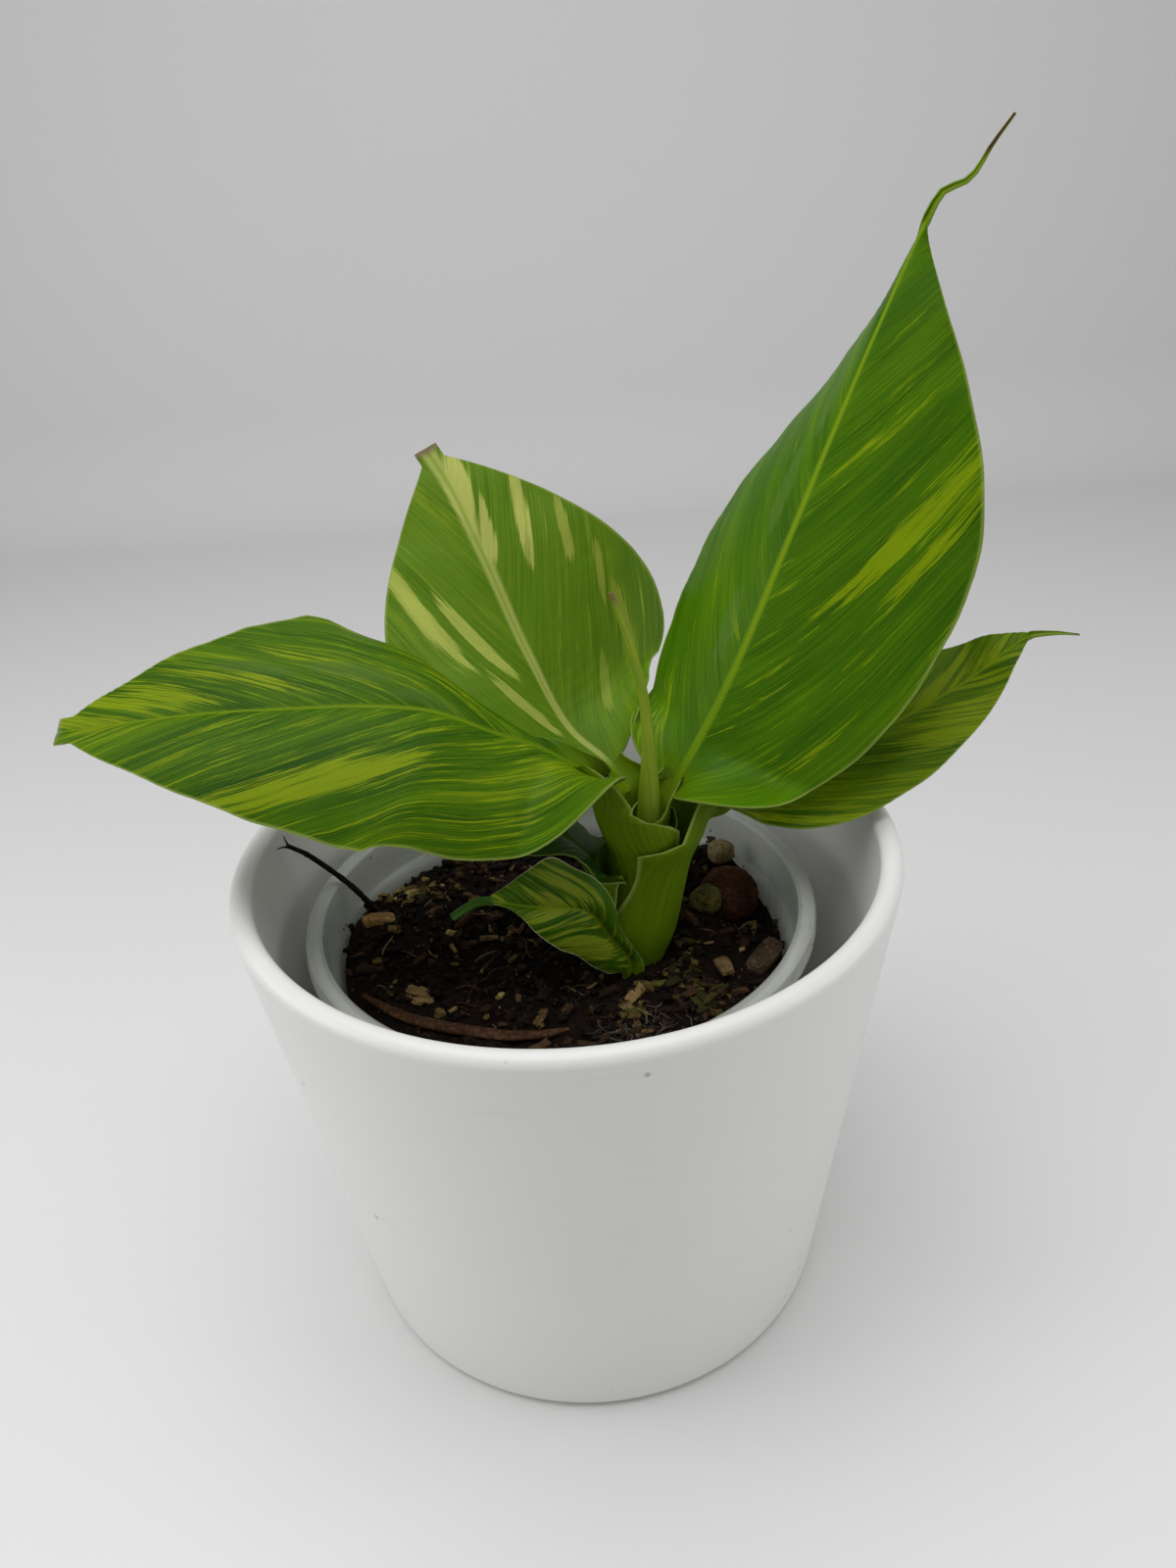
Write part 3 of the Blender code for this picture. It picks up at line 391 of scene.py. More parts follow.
def makeNurseryPot():
    pot = nurseryPot
    wall, top = pot["wall"], pot["top"]
    neck, rim = pot["neckRadius"], pot["rimRadius"]
    outside = [(pot["footRadius"] - 2.2, pot["floor"]), (pot["footRadius"] - 1.2, pot["floor"] + 0.5),
               (pot["footRadius"], pot["footHeight"])]
    for share in (0.25, 0.5, 0.75, 0.97):
        outside.append((pot["footRadius"] + (pot["ledgeRadius"] - pot["footRadius"]) * share,
                        pot["footHeight"] + (pot["ledge"] - pot["footHeight"]) * share))
    outside += [(pot["ledgeRadius"] + 0.35, pot["ledge"] + 0.15), (neck - 0.8, pot["ledgeTop"] - 0.25),
                (neck - 0.4, pot["ledgeTop"] + 0.4), (neck - 0.2, top - 5)]
    under = [(neck, top - 1.6), (neck + 0.3, top - 1.0), (rim - wall * 2 - 0.4, top - wall - 0.1),
             (rim - wall - 0.5, top - wall - 0.6), (rim - wall - 0.1, top - 3.6), (rim, top - 3.8)]
    over = [(rim + 0.05, top - 1.4), (rim - 0.35, top - 0.4), (rim - 1.2, top), (neck + 0.1, top),
            (neck - 0.6, top - 0.5), (neck - wall - 0.1, top - 1.6)]
    inside = [(radius - wall, height + (wall if height < pot["footHeight"] - 1 else 0.2))
              for radius, height in reversed(outside)]
    piece = turnedPiece("nurseryPot", outside + under + over + inside, pot["steps"], (pot["x"], 0.0))
    for i in range(pot["holes"]):
        turn = 2 * math.pi * (i + 0.5) / pot["holes"]
        ring = pot["holeRing"]
        spot = [c * mm for c in (pot["x"] + ring * math.cos(turn), ring * math.sin(turn), 7)]
        bpy.ops.mesh.primitive_cylinder_add(vertices=20, radius=pot["holeRadius"] * mm, depth=8 * mm,
                                            location=spot)
        drill = bpy.context.object
        selectOnly(piece)
        cut = piece.modifiers.new("drainHole", "BOOLEAN")
        cut.object = drill
        bpy.ops.object.modifier_apply(modifier=cut.name)
        bpy.data.objects.remove(drill)
    smoothBy(piece, 35)
    settle(piece, [clearFinish()], "nursery_pot")
    print("nursery pot turned")


makeNurseryPot()


# potting soil: peat, heaped at the left and hollow in front of the stem

soil = dict(
    level=82.5,
    heaps=[
        (-38, 6, 6.5, 17), (34, 26, 6.5, 13), (-12, 30, 3.0, 18), (4, -30, -2.5, 14), (16, -20, 1.0, 9),
        (29, 1, 7.2, 6), (38, 9, -2.0, 8)],
    lump=1.7, rings=56, steps=190, footRadius=39.0, floor=7.6, stem=(13.0, -2.5, 8.2), dark=(0.0035, 0.002, 0.0012),
    mid=(0.008, 0.0045, 0.0028), light=(0.03, 0.017, 0.009), specks=(0.16, 0.1, 0.05), grain=1.1, rough=0.92,
    wallGap=0.65, bumps=[(0.45, 1.0, 3), (1.7, 0.7, 9), (4.1, 0.22, 5)])


def soilHeight(x, y):
    height = soil["level"]
    for heapX, heapY, lift, reach in soil["heaps"]:
        height += lift * math.exp(-((x - heapX) ** 2 + (y - heapY) ** 2) / reach**2)
    height += soil["lump"] * noise.noise(Vector((x * 0.09, y * 0.09, 2.0)))
    return height + 0.5 * soil["lump"] * noise.noise(Vector((x * 0.25, y * 0.25, 7.0)))


def nurseryInside(z):
    pot = nurseryPot
    slope = (pot["ledgeRadius"] - pot["footRadius"]) / (pot["ledge"] - pot["footHeight"])
    return pot["footRadius"] + slope * (z - pot["footHeight"]) - pot["wall"]


def earthFinish(name, look, bumpDepth=0.5):
    # crumbly stuff; its larger grains are look["grain"] millimetres across
    scale = look["grain"]
    finish = Finish(name, {"Specular IOR Level": 0.10})
    place = finish.place()
    broad = finish.grain(place, 1000 / (scale * 6), 3)
    fine = finish.grain(place, 1000 / scale, 5, 0.65)
    crumb = finish.cells(place, 1000 / scale)
    tone = broad * 0.45 + fine * 0.55 - crumb * 0.15 + 0.05
    colour = tone.ramp([(0.32, look["dark"]), (0.50, look["mid"]), (0.74, look["light"])])
    if "specks" in look:
        dots = 1 - finish.cells(place, 1000 / (scale * 1.6)).smooth(0.10, 0.20)
        colour = finish.blend(colour, look["specks"], dots * finish.grain(place, 300, 1).smooth(0.54, 0.62))
    finish.feed({"Base Color": colour, "Roughness": look["rough"] - fine * 0.12})
    finish.bump(fine - crumb * 0.5, bumpDepth, 0.8)
    return finish


def makeSoil():
    edge = nurseryInside(soil["level"]) - soil["wallGap"]
    below = soil["level"] - 8
    profile = [(soil["footRadius"] - 3.5, soil["floor"]), (soil["footRadius"], soil["floor"] + 2.4),
               (nurseryInside(below) - soil["wallGap"], below), (edge, soil["level"])]
    profile += [(edge * (1 - i / soil["rings"]) ** 0.85, soil["level"]) for i in range(1, soil["rings"])]
    piece = turnedPiece("pottingSoil", profile, soil["steps"], (nurseryPot["x"], 0.0))
    stemX, stemY, stemRadius = soil["stem"]
    for vertex in piece.data.vertices:
        x, y = vertex.co.x / mm, vertex.co.y / mm
        if vertex.co.z > (soil["level"] - 1) * mm:
            lift = 1.0 if math.hypot(x - nurseryPot["x"], y) < edge - 1 else 0.8
            height = (soilHeight(x, y) - soil["level"]) * lift
            rough = sum(size * noise.noise(Vector((x * scale, y * scale, layer)))
                        for scale, size, layer in soil["bumps"])
            near = math.hypot(x - stemX, y - stemY) - stemRadius
            bank = 0.9 * math.exp(-(near / 2.5) ** 2)
            vertex.co.z += (height + rough - 0.1 + bank * 0.6) * mm
    smoothBy(piece, 60)
    settle(piece, [earthFinish("peatSoil", soil)], "soil")
    print("soil filled")


makeSoil()


# loose stones, grains and bark lying on the soil, each in its place

lumps = dict(
    clayPebble=dict(
        node="clay_pebble", at=(36.4, 12.6, 85.6), half=(6.9, 6.9, 6.7), tilt=(0, 0, 0), square=1.0, detail=6,
        pits=0.35, grit=0.1, dark=(0.018, 0.007, 0.003), mid=(0.06, 0.022, 0.01), light=(0.13, 0.055, 0.028),
        grain=0.7, rough=0.85),
    pumiceGrain=dict(
        node="pumice_grain", at=(30.3, 4.8, 89.9), half=(3.7, 3.3, 3.5), tilt=(20, 0, 20), square=1.0, detail=5,
        pits=0.45, grit=0.14, dark=(0.025, 0.022, 0.005), mid=(0.11, 0.1, 0.022), light=(0.24, 0.22, 0.07), grain=0.6,
        rough=0.95, hole=(-0.62, -0.72, 0.3)),
    tanStone=dict(
        node="tan_stone", at=(36, 23, 90.9), half=(3.1, 2.7, 2.8), tilt=(0, 10, 30), square=0.8, detail=5, pits=0.15,
        grit=0.06, dark=(0.06, 0.045, 0.02), mid=(0.19, 0.145, 0.065), light=(0.38, 0.3, 0.16), grain=1.1, rough=0.7),
    darkBarkPiece=dict(
        node="dark_bark_piece", at=(41.2, -10, 84.2), half=(5, 2.3, 1.7), tilt=(12, -8, 50), square=0.5, detail=5,
        pits=0.2, grit=0.16, dark=(0.02, 0.013, 0.008), mid=(0.065, 0.042, 0.024), light=(0.17, 0.12, 0.07),
        grain=0.9, rough=0.95),
    woodChip=dict(
        node="wood_chip", at=(32.2, -11.9, 84), half=(3.8, 1.6, 0.8), tilt=(10, -12, -80), square=0.5, detail=5,
        pits=0.05, grit=0.07, dark=(0.05, 0.03, 0.012), mid=(0.15, 0.095, 0.04), light=(0.3, 0.21, 0.1), grain=0.6,
        rough=0.85),
    tanBarkPiece=dict(
        node="tan_bark_piece", at=(-43.6, 6.8, 88.6), half=(3.6, 2, 1.4), tilt=(0, 8, 15), square=0.5, detail=5,
        pits=0.1, grit=0.14, dark=(0.11, 0.06, 0.02), mid=(0.3, 0.18, 0.06), light=(0.5, 0.36, 0.15), grain=0.8,
        rough=0.9))


def makeLump(name, lump):
    bpy.ops.mesh.primitive_ico_sphere_add(subdivisions=lump["detail"], radius=1)
    piece = namedPiece(name)
    shift = Vector((len(lump["node"]), 0, 0))
    for vertex in piece.data.vertices:
        spot = vertex.co.copy()
        swell = 1 + 0.12 * noise.noise(spot * 1.3 + shift)
        swell += lump["grit"] * 0.5 * noise.noise(spot * 4.0 + shift) + lump["grit"] * 0.3 * noise.noise(spot * 9.0)
        pore = noise.voronoi(spot * 5.5 + shift)[0][0]
        swell -= lump["pits"] * 0.22 * max(0.0, 1 - pore / 0.33)
        if "hole" in lump:
            off = (spot - Vector(lump["hole"]).normalized()).length
            swell -= 0.42 * math.exp(-((off / 0.30) ** 4))
        swell = min(swell, 1.10)
        for axis in range(3):
            share = abs(spot[axis]) ** lump["square"]
            vertex.co[axis] = math.copysign(share, spot[axis]) * lump["half"][axis] * swell * mm
    turn = Euler([math.radians(a) for a in lump["tilt"]]).to_matrix().to_4x4()
    piece.data.transform(Matrix.Translation(Vector(lump["at"]) * mm) @ turn)
    smoothBy(piece, 60)
    settle(piece, [earthFinish(name + "Skin", lump, 0.25)], lump["node"])


for name, lump in lumps.items():
    makeLump(name, lump)
print("loose lumps laid")


def strandPiece(name, route, points, flat=1.0, around=5, knob=0.0, seed=1):
    # a curve through the route with each point's own radius, made a mesh, then pressed flat
    knots = list(range(len(route)))
    curve = bpy.data.curves.new(name, "CURVE")
    curve.dimensions = "3D"
    curve.bevel_depth = mm
    curve.bevel_resolution = around
    curve.use_fill_caps = True
    line = curve.splines.new("POLY")
    line.points.add(points - 1)
    for i, point in enumerate(line.points):
        x, y, z, radius = hermite(knots, route, i * knots[-1] / (points - 1))
        point.co = (x * mm, y * mm, z * mm, 1)
        point.radius = radius * (1 + knob * noise.noise(Vector((i * 0.6, seed, 0))))
    piece = bpy.data.objects.new(name, curve)
    bpy.context.scene.collection.objects.link(piece)
    selectOnly(piece)
    bpy.ops.object.convert(target="MESH")
    piece = namedPiece(name)
    middles = np.array([point[:3] for point in (hermite(knots, route, k * knots[-1] / (points - 1))
                                                for k in range(points))]) * mm
    for vertex in piece.data.vertices:
        middle = middles[np.argmin(((middles - np.array(vertex.co)) ** 2).sum(1))]
        vertex.co.z = middle[2] + (vertex.co.z - middle[2]) * flat
    faceOutward(mergeWithin=0.01 * mm)
    smoothBy(piece, 60)
    return piece


def joined(name, pieces):
    bpy.ops.object.select_all(action="DESELECT")
    for piece in pieces:
        piece.select_set(True)
    bpy.context.view_layer.objects.active = pieces[0]
    bpy.ops.object.join()
    return namedPiece(name)


barkSplinter = dict(
    route=[
        (-45, -14.6, 84.6, 0.6), (-34, -22.6, 83.9, 1.4), (-17.5, -27.6, 82.7, 1.5), (-8, -27.9, 82, 1.2),
        (-1.5, -27, 82.2, 0.5)],
    flat=0.55, clear=1.6, dark=(0.015, 0.007, 0.004), mid=(0.06, 0.028, 0.014), light=(0.16, 0.085, 0.045), grain=0.9,
    rough=0.9)

splinter = strandPiece("barkSplinter", barkSplinter["route"], 70, barkSplinter["flat"], 6, 0.12)
settle(splinter, [earthFinish("splinterBark", barkSplinter, 0.3)], "bark_splinter")

blackTwig = dict(
    route=[
        (-44.9, 12.6, 87, 0.7), (-48.6, 12.4, 93.4, 0.7), (-52.7, 12.2, 98.6, 0.65), (-57.8, 11.2, 104.6, 0.6),
        (-61.4, 9.2, 108.6, 0.45)],
    fork=[(-58.6, 10.9, 105.4, 0.5), (-60.6, 11.4, 106.2, 0.4), (-62.6, 12.0, 106.6, 0.2)],
    frays=[
        [(-60.6, 9.8, 107.6, 0.3), (-62.0, 8.2, 108.8, 0.22), (-63.0, 6.8, 109.2, 0.1)],
        [(-61.0, 9.4, 108.2, 0.25), (-61.6, 9.6, 109.6, 0.18), (-61.9, 10.0, 110.6, 0.1)]],
    dark=(0.004, 0.003, 0.003), mid=(0.012, 0.01, 0.009), light=(0.05, 0.042, 0.035), grain=0.7, rough=0.8)

twigParts = [strandPiece("blackTwig", blackTwig["route"], 50, 1.0, 5, 0.35, 3),
             strandPiece("twigFork", blackTwig["fork"], 12, 1.0, 4, 0.2, 4)]
twigParts += [strandPiece("twigFray", fray, 8, 1.0, 3) for fray in blackTwig["frays"]]
twig = joined("blackTwig", twigParts)
settle(twig, [earthFinish("blackTwigBark", blackTwig, 0.2)], "black_twig")
print("splinter and twig laid")


# crumbs, chips, grains and fibres scattered over the soil

scatter = dict(
    peatCrumbs=dict(
        kind="crumb", count=1150, seed=21, size=(0.6, 3.0), reach=48.3, sink=0.15,
        tones=[
            (0.0, (0.004, 0.003, 0.002)), (0.6, (0.014, 0.008, 0.005)), (0.88, (0.045, 0.024, 0.011)),
            (1.0, (0.14, 0.1, 0.03))]),
    barkChips=dict(
        kind="chip", count=260, seed=8, size=(1.5, 5.2), reach=46.5, sink=0.3,
        tones=[
            (0.0, (0.007, 0.004, 0.003)), (0.5, (0.022, 0.012, 0.007)), (0.8, (0.07, 0.035, 0.015)),
            (1.0, (0.24, 0.16, 0.06))]),
    paleGrains=dict(
        kind="crumb", count=110, seed=5, size=(0.8, 3.2), reach=47.5, sink=0.1, heap=(-38.6, 21.5, 6.5, 4.5),
        heapShare=0.72, tones=[(0.0, (0.06, 0.04, 0.012)), (0.5, (0.17, 0.12, 0.035)), (1.0, (0.4, 0.31, 0.12))]),
    mossyBits=dict(
        kind="chip", count=70, seed=31, size=(1.2, 4.2), reach=46.5, sink=0.2, heap=(24.0, -14.0, 14.0, 12.0),
        heapShare=0.8, tones=[(0.0, (0.01, 0.009, 0.003)), (0.5, (0.045, 0.04, 0.008)), (1.0, (0.13, 0.13, 0.02))]),
    capFibres=dict(
        kind="fibre", count=110, seed=37, size=(2.5, 6.5), reach=46.5, sink=0.0, heap=(13.0, -27.0, 12.0, 7.0),
        heapShare=1.0, tones=[(0.0, (0.012, 0.01, 0.008)), (0.7, (0.05, 0.04, 0.03)), (1.0, (0.16, 0.13, 0.09))]),
    peatFibres=dict(
        kind="fibre", count=170, seed=13, size=(2.5, 8.5), reach=46.5, sink=0.0,
        tones=[(0.0, (0.012, 0.007, 0.004)), (0.7, (0.05, 0.028, 0.014)), (1.0, (0.2, 0.14, 0.07))]))


def clearOfLumps(x, y, gap):
    stemX, stemY, stemRadius = soil["stem"]
    if math.hypot(x - stemX, y - stemY) < stemRadius + gap:
        return False
    if any(math.hypot(x - lump["at"][0], y - lump["at"][1]) < max(lump["half"]) + gap for lump in lumps.values()):
        return False
    knots = range(len(barkSplinter["route"]))
    for i in range(20):
        spot = hermite(knots, barkSplinter["route"], i * knots[-1] / 19)
        if math.hypot(x - spot[0], y - spot[1]) < barkSplinter["clear"] + gap:
            return False
    return True


def modelBits(kind, rng):
    # a few different bits of each kind, about one millimetre across, copied many times
    bits = []
    for i in range(5):
        if kind == "crumb":
            bpy.ops.mesh.primitive_ico_sphere_add(subdivisions=2, radius=1)
            bit = namedPiece("crumbBit")
            for vertex in bit.data.vertices:
                vertex.co *= 1 + 0.7 * noise.noise(vertex.co * 1.4 + Vector((i * 7, 0, 0)))
        elif kind == "chip":
            bpy.ops.mesh.primitive_cube_add(size=2)
            bit = namedPiece("chipBit")
            bpy.ops.object.mode_set(mode="EDIT")
            bpy.ops.mesh.subdivide(number_cuts=2, smoothness=0.2)
            bpy.ops.object.mode_set(mode="OBJECT")
            for vertex in bit.data.vertices:
                vertex.co += Vector([0.55 * noise.noise(vertex.co * 0.9 + Vector((i * 5, k * 9, 0)))
                                     for k in range(3)])
            bit.data.transform(Matrix.Diagonal((1.0, 0.5, 0.28, 1)))
        else:
            bend = rng.uniform(-0.5, 0.5)
            route = [(-1.0, 0, 0, 0.045), (-0.4, bend * 0.5, 0.10, 0.06), (0.35, -bend * 0.35, 0.13, 0.055),
                     (1.0, bend, 0.0, 0.02)]
            bit = strandPiece("fibreBit", route, 9, 1.0, 1)
            bit.data.transform(Matrix.Scale(1 / mm, 4))
        bits.append(bit)
    return bits


def toneFinish(name, tones):
    finish = Finish(name, {"Specular IOR Level": 0.12})
    tone = finish.node("Attribute", {"attribute_name": "tone"}, {}, "Fac")
    place = finish.place()
    fine = finish.grain(place, 900, 4, 0.65)
    finish.feed({"Base Color": (tone + (fine - 0.5) * 0.5).ramp(tones), "Roughness": 0.95 - fine * 0.15})
    finish.bump(fine, 0.25, 0.8)
    return finish


def scatterBits(name, plan):
    rng = random.Random(plan["seed"])
    bits = modelBits(plan["kind"], rng)
    copies = []
    while len(copies) < plan["count"]:
        reach, turn = plan["reach"] * math.sqrt(rng.random()), rng.uniform(0, 2 * math.pi)
        x, y = nurseryPot["x"] + reach * math.cos(turn), reach * math.sin(turn)
        if "heap" in plan and rng.random() < plan["heapShare"]:
            heapX, heapY, wide, deep = plan["heap"]
            x, y = rng.gauss(heapX, wide * 0.55), rng.gauss(heapY, deep * 0.6)
        low, high = plan["size"]
        size = low + (high - low) * rng.random() ** 1.7
        if math.hypot(x - nurseryPot["x"], y) > plan["reach"] or not clearOfLumps(x, y, size * 0.6):
            continue
        stretch = (size / 2, size / 2 * rng.uniform(0.6, 1), size / 2 * rng.uniform(0.5, 0.9))
        if plan["kind"] == "fibre":
            stretch = (size / 2, size / 2, rng.uniform(1.5, 3.5))
        tilt = Euler((rng.uniform(-0.4, 0.4), rng.uniform(-0.35, 0.35), rng.uniform(0, 6.283)))
        if plan["kind"] == "fibre":
            tilt = Euler((rng.uniform(-0.5, 0.5), rng.uniform(-0.16, 0.16), rng.uniform(0, 6.283)))
        z = soilHeight(x, y) + 0.25 + (0.2 if plan["kind"] == "fibre" else stretch[2] * (0.5 - plan["sink"]))
        copy = rng.choice(bits).copy()
        copy.data = copy.data.copy()
        copy.data.transform(Matrix.Translation(Vector((x, y, z)) * mm) @ tilt.to_matrix().to_4x4()
                            @ Matrix.Diagonal((*[s * mm for s in stretch], 1)))
        tone = copy.data.attributes.new("tone", "FLOAT", "POINT")
        tone.data.foreach_set("value", [rng.random()] * len(copy.data.vertices))
        bpy.context.scene.collection.objects.link(copy)
        copies.append(copy)
    piece = joined(name, copies)
    for bit in bits:
        bpy.data.objects.remove(bit)
    smoothBy(piece, 50)
    settle(piece, [toneFinish(name + "Tones", plan["tones"])])


for name, plan in scatter.items():
    scatterBits(name, plan)
print("crumbs scattered")


# banana leaves: sheath, stalk and blade in one sheet

stem = dict(
    axis=[
        (13.0, -2.5, 60), (13.0, -2.5, 80), (14.5, -2.0, 90), (16.6, -1.2, 101), (17.6, -0.6, 112), (18.4, 0.0, 121)],
    foot=73.35, ringFirst=1.1, ringStep=1.2, flare=[1.6, 2.4, 4.6, 5.2, 5.8, 6.4],
    spread=[(60, 0.0), (81, 0.0), (90, 0.38), (101, 0.46), (107, 0.6), (114, 1.0), (122, 1.2)])

sheet = dict(
    blade=0.55, margin=0.3, rib=2.4, columns=19, sheathRows=30, stalkRows=7, bladeRows=104, dripRows=10, groove=0.28,
    corrugation=0.07, ripple=0.22, leanBelow=8.0, channelShare=0.08, curlFrom=0.95, closed=178)


def stemAxis(z):
    return hermite([point[2] for point in stem["axis"]], stem["axis"], z)


def ringRadius(ring, z):
    spread = hermite([p[0] for p in stem["spread"]], [p[1] for p in stem["spread"]], z)
    return stem["ringFirst"] + ring * stem["ringStep"] + spread * stem["flare"][ring - 1]


def sheathRows(leaf):
    turn = math.radians(leaf["azimuth"])
    outward = np.array([math.cos(turn), math.sin(turn), 0.0])
    leanFrom = leaf["opens"] - sheet["leanBelow"]
    rows = []
    for i in range(sheet["sheathRows"] + 1):
        z = stem["foot"] + (leaf["leaves"] - stem["foot"]) * i / sheet["sheathRows"]
        radius = ringRadius(leaf["ring"], z)
        along = unit(stemAxis(z + 0.5) - stemAxis(z - 0.5))
        upFace = -unit(outward - along * outward.dot(along))
        opened = ease((z - leaf["opens"]) / (leaf["leaves"] - leaf["opens"]))
        low = ease((leaf["opens"] - 3 - z) / 28)
        wraps = [math.radians(closed + (wide - closed) * opened + max(0, sheet["closed"] - closed) * low)
                 for closed, wide in zip(leaf["wrap"], leaf["openWrap"])]
        if leaf["ring"] == 5:
            wraps = [min(w, math.radians(limit)) for w, limit in zip(wraps, leaf["wrap"])]
        lean = leaf["lean"] * ease((z - leanFrom) / (leaf["leaves"] - leanFrom))
        rows.append(dict(at=stemAxis(z) - (radius + lean) * upFace, along=along, face=upFace, rib=sheet["blade"],
                         sides=[(radius * w, 0.0, w, 0.0) for w in wraps], run=z - leaf["leaves"], place=-1.0))
    return rows


def halfWidth(side, lobe, x):
    if x <= -lobe or x >= 1:
        return 0.0
    if x < side["widest"]:
        share, power = (x + lobe) / (side["widest"] + lobe), side["base"]
    else:
        share, power = (1 - x) / (1 - side["widest"]), side["point"]
    return side["width"] * (share * (1 + side["belly"] * (1 - share)))**power


def bladeRows(leaf, last):
    points = [last["at"]] + [np.array(p, float) for p in leaf["midrib"]]
    places = np.cumsum([0] + [np.linalg.norm(b - a) for a, b in zip(points, points[1:])])
    total = places[-1]
    faces = [last["face"]] + [np.array(f, float) for f in leaf["faces"]]
    facePlaces = np.linspace(0, total, len(faces))
    start, end = leaf["bladeFrom"], leaf["bladeTo"]
    length = (end - start) * total
    shares = [start * i / sheet["stalkRows"] for i in range(1, sheet["stalkRows"])]
    for i in range(sheet["bladeRows"] + 1):
        x = i / sheet["bladeRows"]
        shares.append(start + (end - start) * (0.35 * x + 0.65 * (1 - math.cos(math.pi * x)) / 2))
    if end < 1:
        shares += [end + (1 - end) * i / sheet["dripRows"] for i in range(1, sheet["dripRows"] + 1)]
    rows = []
    for share in shares:
        s = share * total
        along = unit(hermite(places, points, min(s + 0.4, total)) - hermite(places, points, max(s - 0.4, 0)))
        face = hermite(facePlaces, faces, s)
        face = unit(face - along * face.dot(along))
        v = (share - start) / (end - start)
        place = min(max(v, 0.0), 1.0)
        channel = 1 - ease(v / sheet["channelShare"])
        curl = ease((v - sheet["curlFrom"]) / (1 - sheet["curlFrom"])) if end < 1 else 0.0
        sides = []
        for index, name in enumerate(("left", "right")):
            side = leaf[name]
            lobe = side["lobe"] / length
            stalk = leaf["stalk"][index]
            stalk += (last["sides"][index][0] - stalk) * (1 - ease(share / start))
            stalk += (leaf["tipWidth"] - leaf["stalk"][index]) * ease(place)
            if share > end:
                stalk = leaf["tipWidth"] * (1 - 0.8 * ((share - end) / (1 - end)) ** 0.7)
            reach = place + 4 * leaf["sweep"] * place * (1 - place) - lobe * (1 - place) ** 8
            half = max(stalk, halfWidth(side, lobe, reach) if v >= 0 else 0)
            flat = (1 - channel) * (1 - curl)
            rib = hermite((0, 0.5, 1), side["rib"], place) * flat + 20 * curl + 8 * channel
            edge = hermite((0, 0.5, 1), side["edge"], place) * flat + 70 * curl + side["cup"] * channel
            forward = (reach - place) * length if 0 <= v < 1 else 0.0
            sides.append((half, math.radians(rib), math.radians(edge), forward))
        grown = ease(share / start) * (1 - place) ** 0.7
        thin = 1 - 0.6 * ease((share - end) / (1 - end)) if end < 1 else 1.0
        rows.append(dict(at=hermite(places, points, s), along=along, face=face, sides=sides, run=s - start * total,
                         place=v, rib=sheet["blade"] + (sheet["rib"] - sheet["blade"]) * grown, thin=thin))
    return rows


def routedRows(leaf):
    knots = range(len(leaf["midrib"]))
    rows, run, before = [], 0.0, None
    count = leaf["rows"] * 5
    for i in range(count + 1):
        share = i / count
        left, at, right, on = (hermite(knots, leaf[name], share * knots[-1] + step)
                               for name, step in (("left", 0), ("midrib", 0), ("right", 0), ("midrib", 0.05)))
        run += np.linalg.norm(at - before) if before is not None else 0.0
        before = at
        grown = 0.6 * ease(share / 0.4) * (1 - share)
        rows.append(dict(at=at, margins=(left, right), face=unit(np.cross(right - left, on - at)),
                         run=run - leaf["sheathRun"], place=(share - 0.2) / 0.8,
                         bulge=hermite((0, 0.5, 1), leaf["bulge"], share),
                         rib=sheet["blade"] + (sheet["rib"] - sheet["blade"]) * grown))
    knots = range(len(leaf["tip"]))
    face = rows[-1]["face"]
    for i in range(1, leaf["tipRows"] + 1):
        share = i / leaf["tipRows"]
        at = hermite(knots, leaf["tip"], share * knots[-1])
        half = face * leaf["tipWidth"] * (1 - 0.4 * share)
        side = unit(np.cross(at - rows[-1]["at"], half)) * leaf["tipWidth"]
        run += np.linalg.norm(at - before)
        before = at
        rows.append(dict(at=at, margins=(at - side + half, at + side + half), face=face, bulge=0.0,
                         run=run - leaf["sheathRun"], place=1 + 0.2 * share, rib=sheet["blade"]))
    return rows


def across(half, first, last, t):
    bend = last - first
    if abs(bend) < 1e-4:
        return half * t * math.cos(first), half * t * math.sin(first)
    return (half / bend * (math.sin(first + bend * t) - math.sin(first)),
            half / bend * (math.cos(first) - math.cos(first + bend * t)))


def leafPoint(leaf, row, signedT):
    # the place of one point, its width from the midrib and its length along the blade
    t, index = abs(signedT), 0 if signedT < 0 else 1
    if "margins" in row:
        margin = row["margins"][index]
        wide = np.linalg.norm(margin - row["at"]) * t
        spot = row["at"] + (margin - row["at"]) * t + row["face"] * row["bulge"] * 4 * t * (1 - t)
        run = row["run"]
    else:
        half, first, last, forward = row["sides"][index]
        out, up = across(half, first, last, t)
        sideways = np.cross(row["along"], row["face"]) * (1 if signedT > 0 else -1)
        spot = row["at"] + sideways * out + row["face"] * up + row["along"] * forward * t**1.2
        wide, run = half * t, row["run"] + forward * t**1.2
    blade = ease((row["place"] - 0.02) / 0.12) * ease((1 - row["place"]) / 0.06)
    vein = run - wide * leaf["look"]["rake"] - wide * wide * leaf["look"]["bend"] / 30
    lift = -sheet["groove"] * math.exp(-((wide / 0.8) ** 2)) * (0.35 + 0.65 * blade)
    lift += sheet["corrugation"] * math.sin(vein * 2.1) * blade * ease(wide / 3)
    wave = math.sin(run * 0.42 + index * 2.0 + leaf["look"]["seed"])
    lift += sheet["ripple"] * leaf.get("wavy", 1.0) * blade * t**3 * wave
    return spot + row["face"] * lift, math.copysign(wide, signedT), run


def storeMap(mesh, name, values):
    layer = mesh.uv_layers.new(name=name)
    layer.data.foreach_set("uv", [u for loop in mesh.loops for u in values[loop.vertex_index]])


